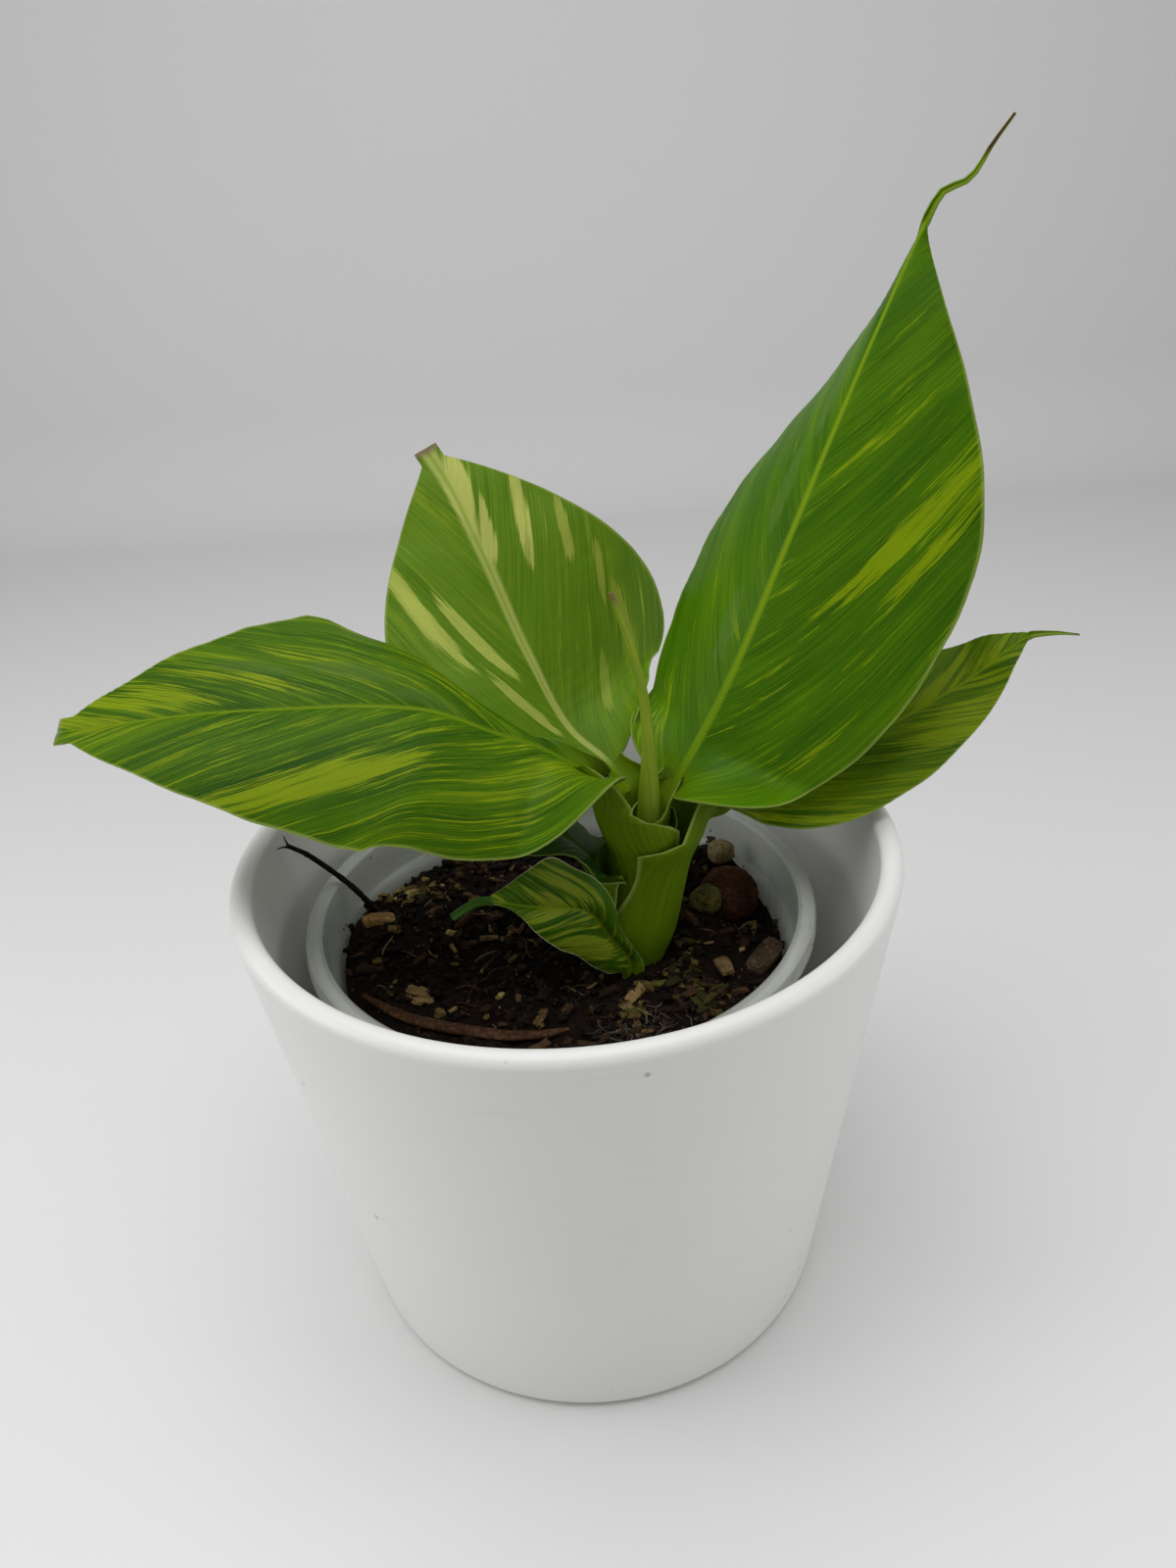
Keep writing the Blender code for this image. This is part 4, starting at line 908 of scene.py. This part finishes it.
def makeBananaLeaf(name, leaf, rows):
    columns = sheet["columns"]
    steps = [math.copysign((abs(k) / columns) ** 1.15, k) if k else 0.0 for k in range(-columns, columns + 1)]
    bpy.ops.mesh.primitive_grid_add(x_subdivisions=2 * columns, y_subdivisions=len(rows) - 1, size=2)
    piece = namedPiece(name)
    mesh = piece.data
    thick = piece.vertex_groups.new(name="thickness")
    flat, place = [], []
    for vertex in mesh.vertices:
        column = round((vertex.co.x + 1) * columns)
        row = rows[round((vertex.co.y + 1) / 2 * (len(rows) - 1))]
        spot, wide, run = leafPoint(leaf, row, steps[column])
        vertex.co = Vector(spot) * mm
        flat.append((wide, run))
        place.append((0.5 + steps[column] / 2, row["place"]))
        depth = sheet["blade"] + (row["rib"] - sheet["blade"]) * math.exp(-((wide / 1.1) ** 2))
        depth -= (sheet["blade"] - sheet["margin"]) * ease((abs(steps[column]) - 0.8) / 0.2)
        thick.add([vertex.index], depth * row.get("thin", 1.0) / sheet["rib"], "REPLACE")
    storeMap(mesh, "flat", flat)
    storeMap(mesh, "place", place)
    wall = piece.modifiers.new("leafThickness", "SOLIDIFY")
    wall.thickness = sheet["rib"] * mm
    wall.offset = -1
    wall.vertex_group = "thickness"
    wall.thickness_vertex_group = 0.0
    wall.use_rim = True
    wall.material_offset = 1
    piece.data.materials.append(None)
    piece.data.materials.append(None)
    applyModifiers(piece)
    slots = [polygon.material_index for polygon in piece.data.polygons]
    smoothBy(piece, 50)
    settle(piece, [leafFinish(name + "Upper", leaf["look"]), undersideFinish(name + "Under", leaf["look"])],
           leaf["node"])
    piece.data.polygons.foreach_set("material_index", slots)
    print(name, "grown,", len(piece.data.polygons), "faces")


def leafCoordinates(finish):
    flat = finish.node("UVMap", {"uv_map": "flat"}, {})
    place = finish.node("UVMap", {"uv_map": "place"}, {})
    return flat.part(0), flat.part(1), place.part(0) * 2 - 1, place.part(1)


def strokeMask(look, wide, vein, at, size):
    # a long patch that follows the veins, from its middle on the blade and half sizes in millimetres
    midWide, midRun, midShare = at
    slant = look["rake"] + (look["rakeTip"] - look["rake"]) * midShare
    midVein = midRun - abs(midWide) * slant - midWide * midWide * look["bend"] / 30
    offWide, offVein = (wide - midWide) / size[0], (vein - midVein) / size[1]
    return 1 - (offWide * offWide + offVein * offVein).smooth(0.0, 1.0)


def weaver(finish, along, across, seed):
    # grain stretched along a leaf: how fine it is each way, which layer, how much detail
    def weave(fineAlong, fineAcross, layer, detail, rough=0.5):
        spot = finish.vector(along * fineAlong, across * fineAcross, seed + layer)
        return finish.grain(spot, 1.0, detail, rough)
    return weave


def leafFinish(name, look):
    finish = Finish(name, {"Specular IOR Level": 0.07})
    wide, run, signedT, v = leafCoordinates(finish)
    side, t = abs(wide), abs(signedT)
    slant = v.most(0.0).least(1.0) * (look["rakeTip"] - look["rake"]) + look["rake"]
    vein = run - side * slant - side * side * (look["bend"] / 30)
    weave = weaver(finish, vein, wide, look["seed"])
    brush = weave(0.3, 0.075, 0, 4, 0.62)
    stroke = weave(0.85, 0.11, 3, 4, 0.65)
    thread = weave(3.2, 0.05, 7, 2)
    broad = weave(0.07, 0.04, 5, 2)
    tone = 0.5 + (broad - 0.5) * look["bands"] + (stroke - 0.5) * look["streaks"] + (thread - 0.5) * 0.22
    colour = tone.ramp([(0.24, look["dark"]), (0.62, look["mid"]), (1.0, look["lime"])])
    fleck = weave(2.1, 0.35, 11, 3, 0.6)
    ragged = (brush - 0.5) * 1.9 + (stroke - 0.5) * 1.5 + (fleck - 0.5) * 1.1
    spread = ragged + look.get("limeLift", -0.22)
    for at, size, lift in look["patches"]:
        spread = spread + strokeMask(look, wide, vein, at, size) * lift
    colour = finish.blend(colour, look["lime"], spread.smooth(-0.05, 0.30) * (0.55 + fleck * 0.55))
    night = ((0.5 - brush) * 1.6 + (0.5 - stroke) * 1.4 + (fleck - 0.5) * 0.5).smooth(0.10, 0.42)
    colour = finish.blend(colour, look["dark"], night * look.get("night", 0.65))
    # tints and painted sheen laid along the veins: some are the leaf's own pale markings, others are bluish bands of
    # painted sheen standing for light glancing off the blade
    for at, size, tintAndSheen, share in look.get("tintsAndSheens", []):
        tintAndSheenShare = (ragged + strokeMask(look, wide, vein, at, size) * 1.25).smooth(0.45, 0.95)
        colour = finish.blend(colour, tintAndSheen, tintAndSheenShare * (0.55 + fleck * 0.6) * share)
    pale = (thread - stroke * 0.25).smooth(0.44, 0.56)
    colour = finish.blend(colour, look["lime"], pale * 0.34)
    ribWidth = 1.0 + v.least(1.0).most(0.0) * look.get("ribTaper", -0.6)
    rib = 1 - (side / (ribWidth * look["ribWidth"])).smooth(0.35, 1.0)
    colour = finish.blend(colour, look["rib"], rib * 0.75)
    groove = 1 - (side / (ribWidth * look["ribWidth"])).smooth(0.10, 0.30)
    colour = finish.blend(colour, look["lime"], groove * 0.5 * v.smooth(0.1, 0.3))
    margin = t.smooth(0.972, 0.994) * look.get("marginShare", 0.55)
    colour = finish.blend(colour, look["margin"], margin)
    cordWeave = weaver(finish, wide, run, look["seed"])
    cords = cordWeave(1.3, 0.035, 0, 3, 0.6)
    stalk = cords.ramp([(0.30, look["sheathDark"]), (0.70, look["sheathLight"])])
    stalk = finish.blend(stalk, look["margin"], t.smooth(0.94, 0.99) * 0.5)
    colour = finish.blend(stalk, colour, v.smooth(-0.03, 0.05))
    if "tip" in look:
        colour = finish.blend(colour, look["tip"], v.smooth(look["tipFrom"], look["tipFrom"] + 0.03))
    finish.feed({"Base Color": colour, "Roughness": 0.40 + (stroke - 0.5) * 0.25 + rib * 0.1})
    skin = finish.grain(finish.place(), 900, 2)
    finish.bump((vein * 6.0).sine() * 0.22 + thread * 0.6 + brush * 0.8 + skin * 0.12, 0.10, 0.55)
    return finish


def undersideFinish(name, look):
    finish = Finish(name, {"Specular IOR Level": 0.07})
    wide, run, signedT, v = leafCoordinates(finish)
    side = abs(wide)
    vein = run - side * look["rake"] - side * side * (look["bend"] / 30)
    weave = weaver(finish, vein, wide, look["seed"])
    broad = weave(0.2, 0.03, 1, 2)
    thread = weave(1.6, 0.06, 9, 3)
    colour = (broad * 0.5 + thread * 0.5).ramp([(0.3, look["underDark"]), (0.7, look["underLight"])])
    rib = 1 - side.smooth(0.8, 1.7)
    colour = finish.blend(colour, look["rib"], rib * 0.7)
    cordWeave = weaver(finish, wide, run, look["seed"])
    cords = cordWeave(1.3, 0.035, 4, 3, 0.6)
    fineCords = cordWeave(4.0, 0.05, 5, 2)
    stalk = (cords * 0.7 + fineCords * 0.3).ramp([(0.30, look["sheathDark"]), (0.70, look["sheathLight"])])
    stalk = finish.blend(stalk, look["margin"], abs(signedT).smooth(0.93, 0.985) * 0.8)
    colour = finish.blend(stalk, colour, v.smooth(-0.03, 0.05))
    finish.feed({"Base Color": colour, "Roughness": 0.5 + (thread - 0.5) * 0.2})
    finish.bump(thread * 0.6 + cords * 0.6 + fineCords * 0.3, 0.12, 0.5)
    return finish


def growLeaf(name, leaf):
    rows = sheathRows(leaf)
    makeBananaLeaf(name, leaf, rows + bladeRows(leaf, rows[-1]))


greens = dict(
    sheathDark=(0.07, 0.145, 0.002), sheathLight=(0.15, 0.24, 0.004), margin=(0.3, 0.37, 0.08),
    underDark=(0.055, 0.12, 0.015), underLight=(0.11, 0.2, 0.03))

tallRight = dict(
    node="leaf_tall_right", ring=1, azimuth=35, wrap=(150, 140), openWrap=(70, 70), opens=114, leaves=118, lean=0,
    midrib=[
        (25.6, 3.6, 124), (36.2, 7, 143), (47.6, 12, 167.5), (57.6, 17, 189), (67, 21, 209), (75.2, 25, 224.4),
        (78, 25.5, 229), (83, 26.5, 230.8), (87.5, 28, 236.5), (91.3, 29, 241)],
    faces=[(-0.7, -0.58, 0.3), (-0.69, -0.6, 0.4), (-0.69, -0.6, 0.4), (-0.6, -0.7, 0.35), (-0.3, -0.9, 0.3)],
    bladeFrom=0.05, bladeTo=0.84, sweep=0.1, stalk=(3.6, 3.6), tipWidth=0.8,
    left=dict(
        width=30, widest=0.42, belly=1, lobe=3.5, base=0.47, point=1.25, cup=75, rib=(0, -5, -50),
        edge=(-15, -52, -80)),
    right=dict(
        width=36.6, widest=0.45, belly=1, lobe=5, base=0.45, point=1.3, cup=75, rib=(-20, -20, -20),
        edge=(-40, -40, -30)),
    look=dict(
        greens, seed=1.0, rake=0.95, rakeTip=1.9, bend=0.5, bands=0.9, streaks=0.5, night=0.45, limeLift=-0.3,
        dark=(0.022, 0.088, 0.001), mid=(0.064, 0.165, 0.001), lime=(0.225, 0.325, 0.002), rib=(0.17, 0.28, 0.004),
        ribWidth=1.4,
        patches=[
            ((26, 76, 0.58), (14, 12), 0.42), ((30, 69, 0.51), (10, 9), 0.36), ((21, 59, 0.46), (11, 5), 0.3),
            ((14, 47, 0.38), (9, 4), 0.3), ((24, 50, 0.38), (9, 3.5), 0.28), ((9, 31, 0.26), (9, 3.5), 0.24),
            ((18, 9, 0.08), (11, 4), 0.3), ((14, 88, 0.7), (12, 12), 0.2), ((-12, 5, 0.04), (8, 8), 0.3),
            ((9, 63, 0.52), (8, 7), -0.25), ((22, 70, 0.6), (6, 4), -0.15)],
        # painted sheen: three bluish-grey bands left of the midrib, standing for light glancing off the turned half
        tintsAndSheens=[
            ((-6, 31, 0.26), (3, 12), (0.085, 0.17, 0.024), 0.6),
            ((-6.5, 61, 0.51), (3, 14), (0.085, 0.175, 0.024), 0.6),
            ((-5.7, 81, 0.68), (3, 10), (0.09, 0.185, 0.026), 0.6)],
        tip=(0.1, 0.055, 0.02), tipFrom=1.115))

growLeaf("tallRightLeaf", tallRight)

backLeaf = dict(
    node="leaf_back", ring=2, azimuth=125, wrap=(140, 140), openWrap=(70, 60), opens=113, leaves=119, lean=0,
    midrib=[
        (10.5, 9.8, 123.5), (3.1, 16.5, 128.2), (-5.3, 26.5, 142.3), (-14.5, 38.5, 163.6), (-21.1, 46.5, 177.1),
        (-25.4, 51, 183.2)],
    faces=[(0.5, -0.75, 0.3), (0.2, -0.85, 0.45), (0.1, -0.85, 0.5), (0.1, -0.8, 0.55)], bladeFrom=0.08, bladeTo=1.0,
    sweep=0.12, stalk=(3.6, 3.6), tipWidth=2.8,
    left=dict(
        width=29.8, widest=0.4, belly=1, lobe=0, base=1.5, point=1.12, cup=75, rib=(15, 12, 5), edge=(-10, -15, -10)),
    right=dict(
        width=36.2, widest=0.37, belly=1, lobe=0, base=0.66, point=1.25, cup=75, rib=(15, 12, 5),
        edge=(-10, -15, -10)),
    look=dict(
        greens, seed=2.0, rake=1.7, rakeTip=2.4, bend=0.4, bands=0.6, streaks=0.6, dark=(0.058, 0.14, 0.002),
        mid=(0.118, 0.222, 0.01), lime=(0.19, 0.28, 0.01), rib=(0.42, 0.47, 0.12), ribWidth=0.9, ribTaper=1.6,
        patches=[((-6, 74, 0.84), (8, 8), 0.3), ((24, 31, 0.31), (5, 14), 0.3), ((-17, 60, 0.6), (6, 8), 0.2)],
        tintsAndSheens=[
            ((1.6, 70, 0.82), (4.5, 12), (0.5, 0.52, 0.13), 0.95), ((3, 60, 0.7), (3.5, 7), (0.48, 0.5, 0.12), 0.9),
            ((12, 62, 0.69), (4.5, 7), (0.46, 0.48, 0.11), 0.95),
            ((10.6, 56, 0.63), (4, 6), (0.46, 0.48, 0.11), 0.85), ((19, 54, 0.57), (3, 7), (0.34, 0.38, 0.06), 0.85),
            ((23, 42.5, 0.43), (3, 5), (0.3, 0.34, 0.05), 0.8), ((12.7, 17, 0.18), (5, 5), (0.26, 0.32, 0.05), 0.8),
            ((24, 30, 0.31), (2.5, 9), (0.3, 0.34, 0.05), 0.7),
            ((-19.5, 52.5, 0.54), (5, 9), (0.42, 0.48, 0.09), 0.9),
            ((-17, 45, 0.47), (6, 6), (0.42, 0.48, 0.09), 0.95),
            ((-9.5, 38.5, 0.43), (7, 5), (0.42, 0.48, 0.09), 0.95),
            ((-7, 21.5, 0.24), (6, 4), (0.38, 0.43, 0.08), 0.9)],
        tip=(0.19, 0.145, 0.07), tipFrom=0.965))

growLeaf("backLeaf", backLeaf)

leftLeaf = dict(
    node="leaf_left", ring=3, azimuth=185, wrap=(130, 105), openWrap=(70, 42), opens=116, leaves=120.5, lean=1.6,
    midrib=[
        (6.0, -1.8, 126), (-1.8, -2, 133.2), (-13.1, -3, 139.3), (-24, -4, 144.9), (-35, -5, 147.2), (-50, -6, 148.3),
        (-68.6, -7, 148.9), (-83.5, -8, 148.4), (-95.2, -8.5, 147.6)],
    faces=[(0.9, -0.2, 0.4), (0.45, -0.3, 0.85), (0.1, -0.25, 0.95), (0.0, -0.25, 0.95), (0.0, -0.25, 0.95)],
    bladeFrom=0.09, bladeTo=1.0, sweep=0.1, stalk=(3.8, 3.8), tipWidth=3.6,
    left=dict(
        width=31.2, widest=0.4, belly=0.5, lobe=9, base=0.25, point=0.84, cup=75, rib=(0, 0, 5), edge=(-45, -40, -10)),
    right=dict(
        width=25.4, widest=0.55, belly=0.3, lobe=0, base=1.1, point=0.76, cup=75, rib=(18, 22, 12), edge=(-85, -4, 0)),
    look=dict(
        greens, seed=3.0, rake=1.5, rakeTip=2.6, bend=0.5, bands=1.2, streaks=0.9, limeLift=-0.12,
        dark=(0.016, 0.066, 0.001), mid=(0.062, 0.148, 0.001), lime=(0.225, 0.3, 0.003), rib=(0.12, 0.21, 0.003),
        ribWidth=0.9,
        patches=[
            ((2.3, 98, 0.95), (5, 9), 0.42), ((4.8, 88, 0.85), (5, 10), 0.4), ((5.4, 78, 0.74), (5, 8), 0.32),
            ((8.3, 70, 0.66), (5, 8), 0.3), ((5.5, 58, 0.55), (5, 5), 0.24), ((-18, 61, 0.53), (9, 9), 0.34),
            ((-17, 50, 0.43), (9, 8), 0.34), ((-15, 39, 0.34), (8, 7), 0.3), ((14, 60, 0.5), (6, 8), 0.2),
            ((-6, 84, 0.8), (6, 8), -0.2), ((-8, 56, 0.53), (5, 12), -0.25), ((-23.5, 45, 0.37), (6, 5), -0.3)],
        # painted sheen: bluish bands along the ridge of the far half, standing for light glancing off the fold
        tintsAndSheens=[
            ((10, 65, 0.59), (3.5, 7), (0.07, 0.135, 0.02), 0.6), ((8, 46, 0.42), (3.5, 8), (0.07, 0.135, 0.02), 0.6),
            ((2.3, 31, 0.3), (3, 8), (0.07, 0.135, 0.02), 0.5)],
        tip=(0.3, 0.33, 0.16), tipFrom=0.985))

growLeaf("leftLeaf", leftLeaf)

lowRightLeaf = dict(
    node="leaf_low_right", ring=4, azimuth=12, wrap=(125, 120), openWrap=(70, 70), opens=111, leaves=113.8, lean=0.5,
    midrib=[
        (37, 4.4, 117), (52, 8, 120.3), (70.2, 12, 126.5), (79.6, 14, 130.5), (89.5, 16, 135.3), (95.8, 17, 139.9),
        (100.9, 18, 142.7), (107.1, 19, 142.8), (113.3, 20, 141.7)],
    faces=[(-0.5, -0.3, 0.8), (-0.25, -0.3, 0.9), (-0.25, -0.3, 0.9), (-0.3, -0.3, 0.9)], bladeFrom=0.06,
    bladeTo=0.88, sweep=0.1, stalk=(3.6, 3.6), tipWidth=0.9,
    left=dict(width=17.5, widest=0.42, belly=1, lobe=0, base=0.6, point=0.9, cup=75, rib=(5, 8, 5), edge=(0, 0, 5)),
    right=dict(
        width=16.0, widest=0.36, belly=1, lobe=4, base=0.65, point=1.05, cup=75, rib=(-5, -5, 0),
        edge=(-30, -30, -15)),
    look=dict(
        greens, seed=4.0, rake=1.6, rakeTip=2.4, bend=0.5, bands=1.1, streaks=0.9, limeLift=-0.08,
        dark=(0.032, 0.096, 0.001), mid=(0.098, 0.19, 0.001), lime=(0.225, 0.31, 0.003), rib=(0.17, 0.27, 0.006),
        ribWidth=0.9,
        patches=[
            ((-2.3, 55, 0.7), (5, 9), 0.34), ((0, 63, 0.83), (5, 8), 0.25), ((8, 48, 0.57), (6, 9), 0.34),
            ((6.4, 58, 0.7), (5, 8), 0.3), ((11, 14, 0.15), (7, 7), 0.34), ((3, 32, 0.4), (5, 8), -0.25)],
        tip=(0.14, 0.075, 0.03), tipFrom=1.11))

growLeaf("lowRightLeaf", lowRightLeaf)

underLeftLeaf = dict(
    node="leaf_under_left", ring=5, azimuth=190, wrap=(40, 105), openWrap=(40, 50), opens=92, leaves=102, lean=0,
    midrib=[(4.8, -3.2, 108.5), (-1, -2.8, 114), (-11, -2.4, 117.5), (-21, -3, 116.5), (-27, -4, 113.5)],
    faces=[(0.9, 0.1, 0.3), (0.6, -0.5, 0.6), (0.3, -0.6, 0.75), (0.0, -0.4, 0.9)], bladeFrom=0.06, bladeTo=0.88,
    sweep=0.04, stalk=(8.0, 8.0), tipWidth=0.7,
    left=dict(
        width=7.5, widest=0.4, belly=1, lobe=3, base=0.4, point=0.9, cup=60, rib=(10, 10, 10), edge=(-20, -20, 0)),
    right=dict(
        width=13.5, widest=0.3, belly=1, lobe=3, base=0.3, point=0.9, cup=60, rib=(15, 15, 10), edge=(0, 0, 0)),
    # painted shade: this leaf's greens are set far darker than the other leaves', standing for the shadow it lies in
    # under the left leaf
    look=dict(
        greens, seed=5.0, rake=1.2, rakeTip=1.8, bend=0.5, bands=0.6, streaks=0.6, dark=(0.008, 0.035, 0.002),
        mid=(0.02, 0.062, 0.004), lime=(0.05, 0.1, 0.006), rib=(0.08, 0.13, 0.02), ribWidth=1.2, patches=[]))

growLeaf("underLeftLeaf", underLeftLeaf)

smallLeaf = dict(
    node="leaf_base_small", rows=22, tipRows=6, tipWidth=0.7, bulge=(0.0, 1.0, 0.0), wavy=0.6, sheathRun=12,
    left=[
        (9.4, -10.6, 73.4), (9.8, -11.0, 78.5), (10.4, -12.3, 83.9), (7.5, -14.6, 86.0), (4.0, -16.2, 89.4),
        (0.9, -17.8, 93.7), (-2.0, -19.2, 96.2), (-4.4, -20.2, 99.1), (-6.9, -20.8, 102.4), (-9.2, -20.8, 105.9),
        (-11.5, -20.8, 108.3), (-14.4, -21.3, 110.2)],
    midrib=[
        (11.8, -11.0, 73.4), (12.2, -11.2, 79.5), (12.6, -11.8, 85.2), (11.0, -12.3, 89.5), (8.1, -13.2, 94.7),
        (5.3, -14.3, 100.4), (2.4, -15.3, 103.2), (-1.2, -16.4, 104.7), (-4.8, -17.5, 105.9), (-8.5, -18.6, 107.3),
        (-12.0, -19.9, 109.2), (-14.8, -21.0, 110.6)],
    right=[
        (14.2, -11.1, 73.4), (14.6, -11.2, 79.8), (15.1, -11.5, 85.4), (13.1, -11.9, 90.3), (10.6, -12.3, 95.6),
        (9.1, -12.2, 103.1), (6.0, -11.6, 108.0), (1.6, -11.3, 111.0), (-2.8, -12.0, 114.3), (-7.0, -14.6, 113.6),
        (-11.4, -17.4, 112.0), (-15.1, -20.2, 111.3)],
    tip=[(-14.8, -21.0, 110.6), (-17.4, -21.6, 111.0), (-20.0, -22.0, 110.0), (-22.9, -22.6, 108.3)],
    look=dict(
        greens, seed=6.0, rake=1.1, rakeTip=2.0, bend=0.5, bands=0.8, streaks=0.8, dark=(0.012, 0.055, 0.001),
        mid=(0.045, 0.11, 0.002), lime=(0.2, 0.25, 0.015), rib=(0.13, 0.2, 0.005), ribWidth=0.6,
        patches=[((0, 25, 0.54), (5, 6), 0.4), ((-5, 15, 0.27), (5, 6), 0.5), ((5, 26, 0.6), (4, 6), 0.3)],
        limeLift=-0.05, margin=(0.5, 0.52, 0.32), marginShare=0.9, tip=(0.03, 0.08, 0.01), tipFrom=0.98))

makeBananaLeaf("smallFootLeaf", smallLeaf, routedRows(smallLeaf))


# the heart of the stem: young sheaths packed tight round the rolled leaf

stemHeart = dict(
    levels=[
        (75, 2.5), (84, 2.6), (92, 3.6), (98, 4.4), (103, 5.2), (106.5, 5.6), (108.5, 5.2), (109.6, 4.2),
        (110.2, 2.9)],
    steps=48, dark=(0.055, 0.115, 0.003), light=(0.13, 0.21, 0.006))


def makeStemHeart():
    profile = [(radius, height) for height, radius in stemHeart["levels"]]
    piece = turnedPiece("stemHeart", profile, stemHeart["steps"])
    for vertex in piece.data.vertices:
        middle = stemAxis(vertex.co.z / mm)
        vertex.co.x += middle[0] * mm
        vertex.co.y += middle[1] * mm
    smoothBy(piece, 60)
    finish = Finish("stemHeartSkin", {"Specular IOR Level": 0.15})
    place = finish.place()
    cords = finish.grain(finish.stretched(place, 0.06), 1500, 3, 0.6)
    colour = cords.ramp([(0.3, stemHeart["dark"]), (0.7, stemHeart["light"])])
    finish.feed({"Base Color": colour, "Roughness": 0.45})
    finish.bump(cords, 0.12, 0.5)
    settle(piece, [finish])
    print("stem heart filled")


makeStemHeart()


# the newest leaf, still rolled up, with the seam of its outer turn

rolledLeaf = dict(
    foot=[(0.0, 1.6), (8.0, 1.8), (17.0, 1.9), (28.0, 2.1)],
    tip=[
        (17.6, -0.8, 110, 2.6), (18, -1.4, 120, 2.3), (18.4, -1.2, 132, 1.45), (17.7, -0.4, 144, 1.0),
        (15.6, 0.2, 154, 0.75), (12.4, 0.4, 165, 0.38)],
    turns=1.7, steps=44, rows=110, sheet=0.22, step=0.45, seamTurn=-70.0, twist=150.0, green=(0.135, 0.25, 0.003),
    pale=(0.3, 0.38, 0.03), brown=(0.2, 0.13, 0.05), seam=(0.3, 0.34, 0.1))


def rolledFinish():
    finish = Finish("rolledLeafSkin", {"Specular IOR Level": 0.18})
    flat = finish.node("UVMap", {"uv_map": "flat"}, {})
    around, run = flat.part(0), flat.part(1)
    cords = finish.grain(finish.vector(around * 3.0, run * 0.03, 1.0), 1.0, 3, 0.6)
    broad = finish.grain(finish.vector(around * 0.5, run * 0.06, 4.0), 1.0, 2)
    colour = (cords * 0.45 + broad * 0.55).ramp([(0.30, rolledLeaf["green"]), (0.66, rolledLeaf["pale"])])
    colour = finish.blend(colour, rolledLeaf["seam"], (1 - around.smooth(0.1, 0.45)) * 0.8)
    colour = finish.blend(colour, rolledLeaf["brown"], run.smooth(89, 92))
    finish.feed({"Base Color": colour, "Roughness": 0.38 + cords * 0.15})
    finish.bump(cords, 0.10, 0.6)
    return finish


def makeRolledLeaf():
    plan = rolledLeaf
    route = [(*stemAxis(stem["foot"] + rise), radius) for rise, radius in plan["foot"]] + plan["tip"]
    places = np.cumsum([0] + [math.dist(a[:3], b[:3]) for a, b in zip(route, route[1:])])
    bpy.ops.mesh.primitive_grid_add(x_subdivisions=plan["steps"], y_subdivisions=plan["rows"], size=2)
    piece = namedPiece("rolledLeaf")
    flat = []
    for vertex in piece.data.vertices:
        x, y = (vertex.co.x + 1) / 2, (vertex.co.y + 1) / 2
        s = y * places[-1]
        spot = hermite(places, route, s)
        ahead, behind = (hermite(places, route, min(max(s + step, 0), places[-1])) for step in (0.5, -0.5))
        along = unit(ahead[:3] - behind[:3])
        first = unit(np.cross(along, (0, -1, 0)))
        second = np.cross(along, first)
        angle = math.radians(plan["seamTurn"] + plan["twist"] * y) - x * plan["turns"] * 2 * math.pi
        radius = spot[3] * (1 - plan["step"] * x * 0.62)
        vertex.co = Vector(spot[:3] + (first * math.cos(angle) + second * math.sin(angle)) * radius) * mm
        flat.append((x * plan["turns"] * 2 * math.pi * spot[3], s))
    storeMap(piece.data, "flat", flat)
    faceOutward()
    wall = piece.modifiers.new("sheetThickness", "SOLIDIFY")
    wall.thickness = plan["sheet"] * mm
    wall.offset = 0
    applyModifiers(piece)
    smoothBy(piece, 50)
    settle(piece, [rolledFinish()], "new_leaf_spear")
    print("rolled leaf wound")


makeRolledLeaf()


# the corm, mostly under the soil, keeps its own solid

corm = bpy.data.objects["corm"]
cormLook = dict(dark=(0.05, 0.035, 0.015), mid=(0.16, 0.12, 0.05), light=(0.34, 0.28, 0.13), grain=1.4, rough=0.8)
cormSkin = earthFinish("cormSkin", cormLook, 0.4)
for slot in corm.material_slots:
    slot.material = cormSkin.material
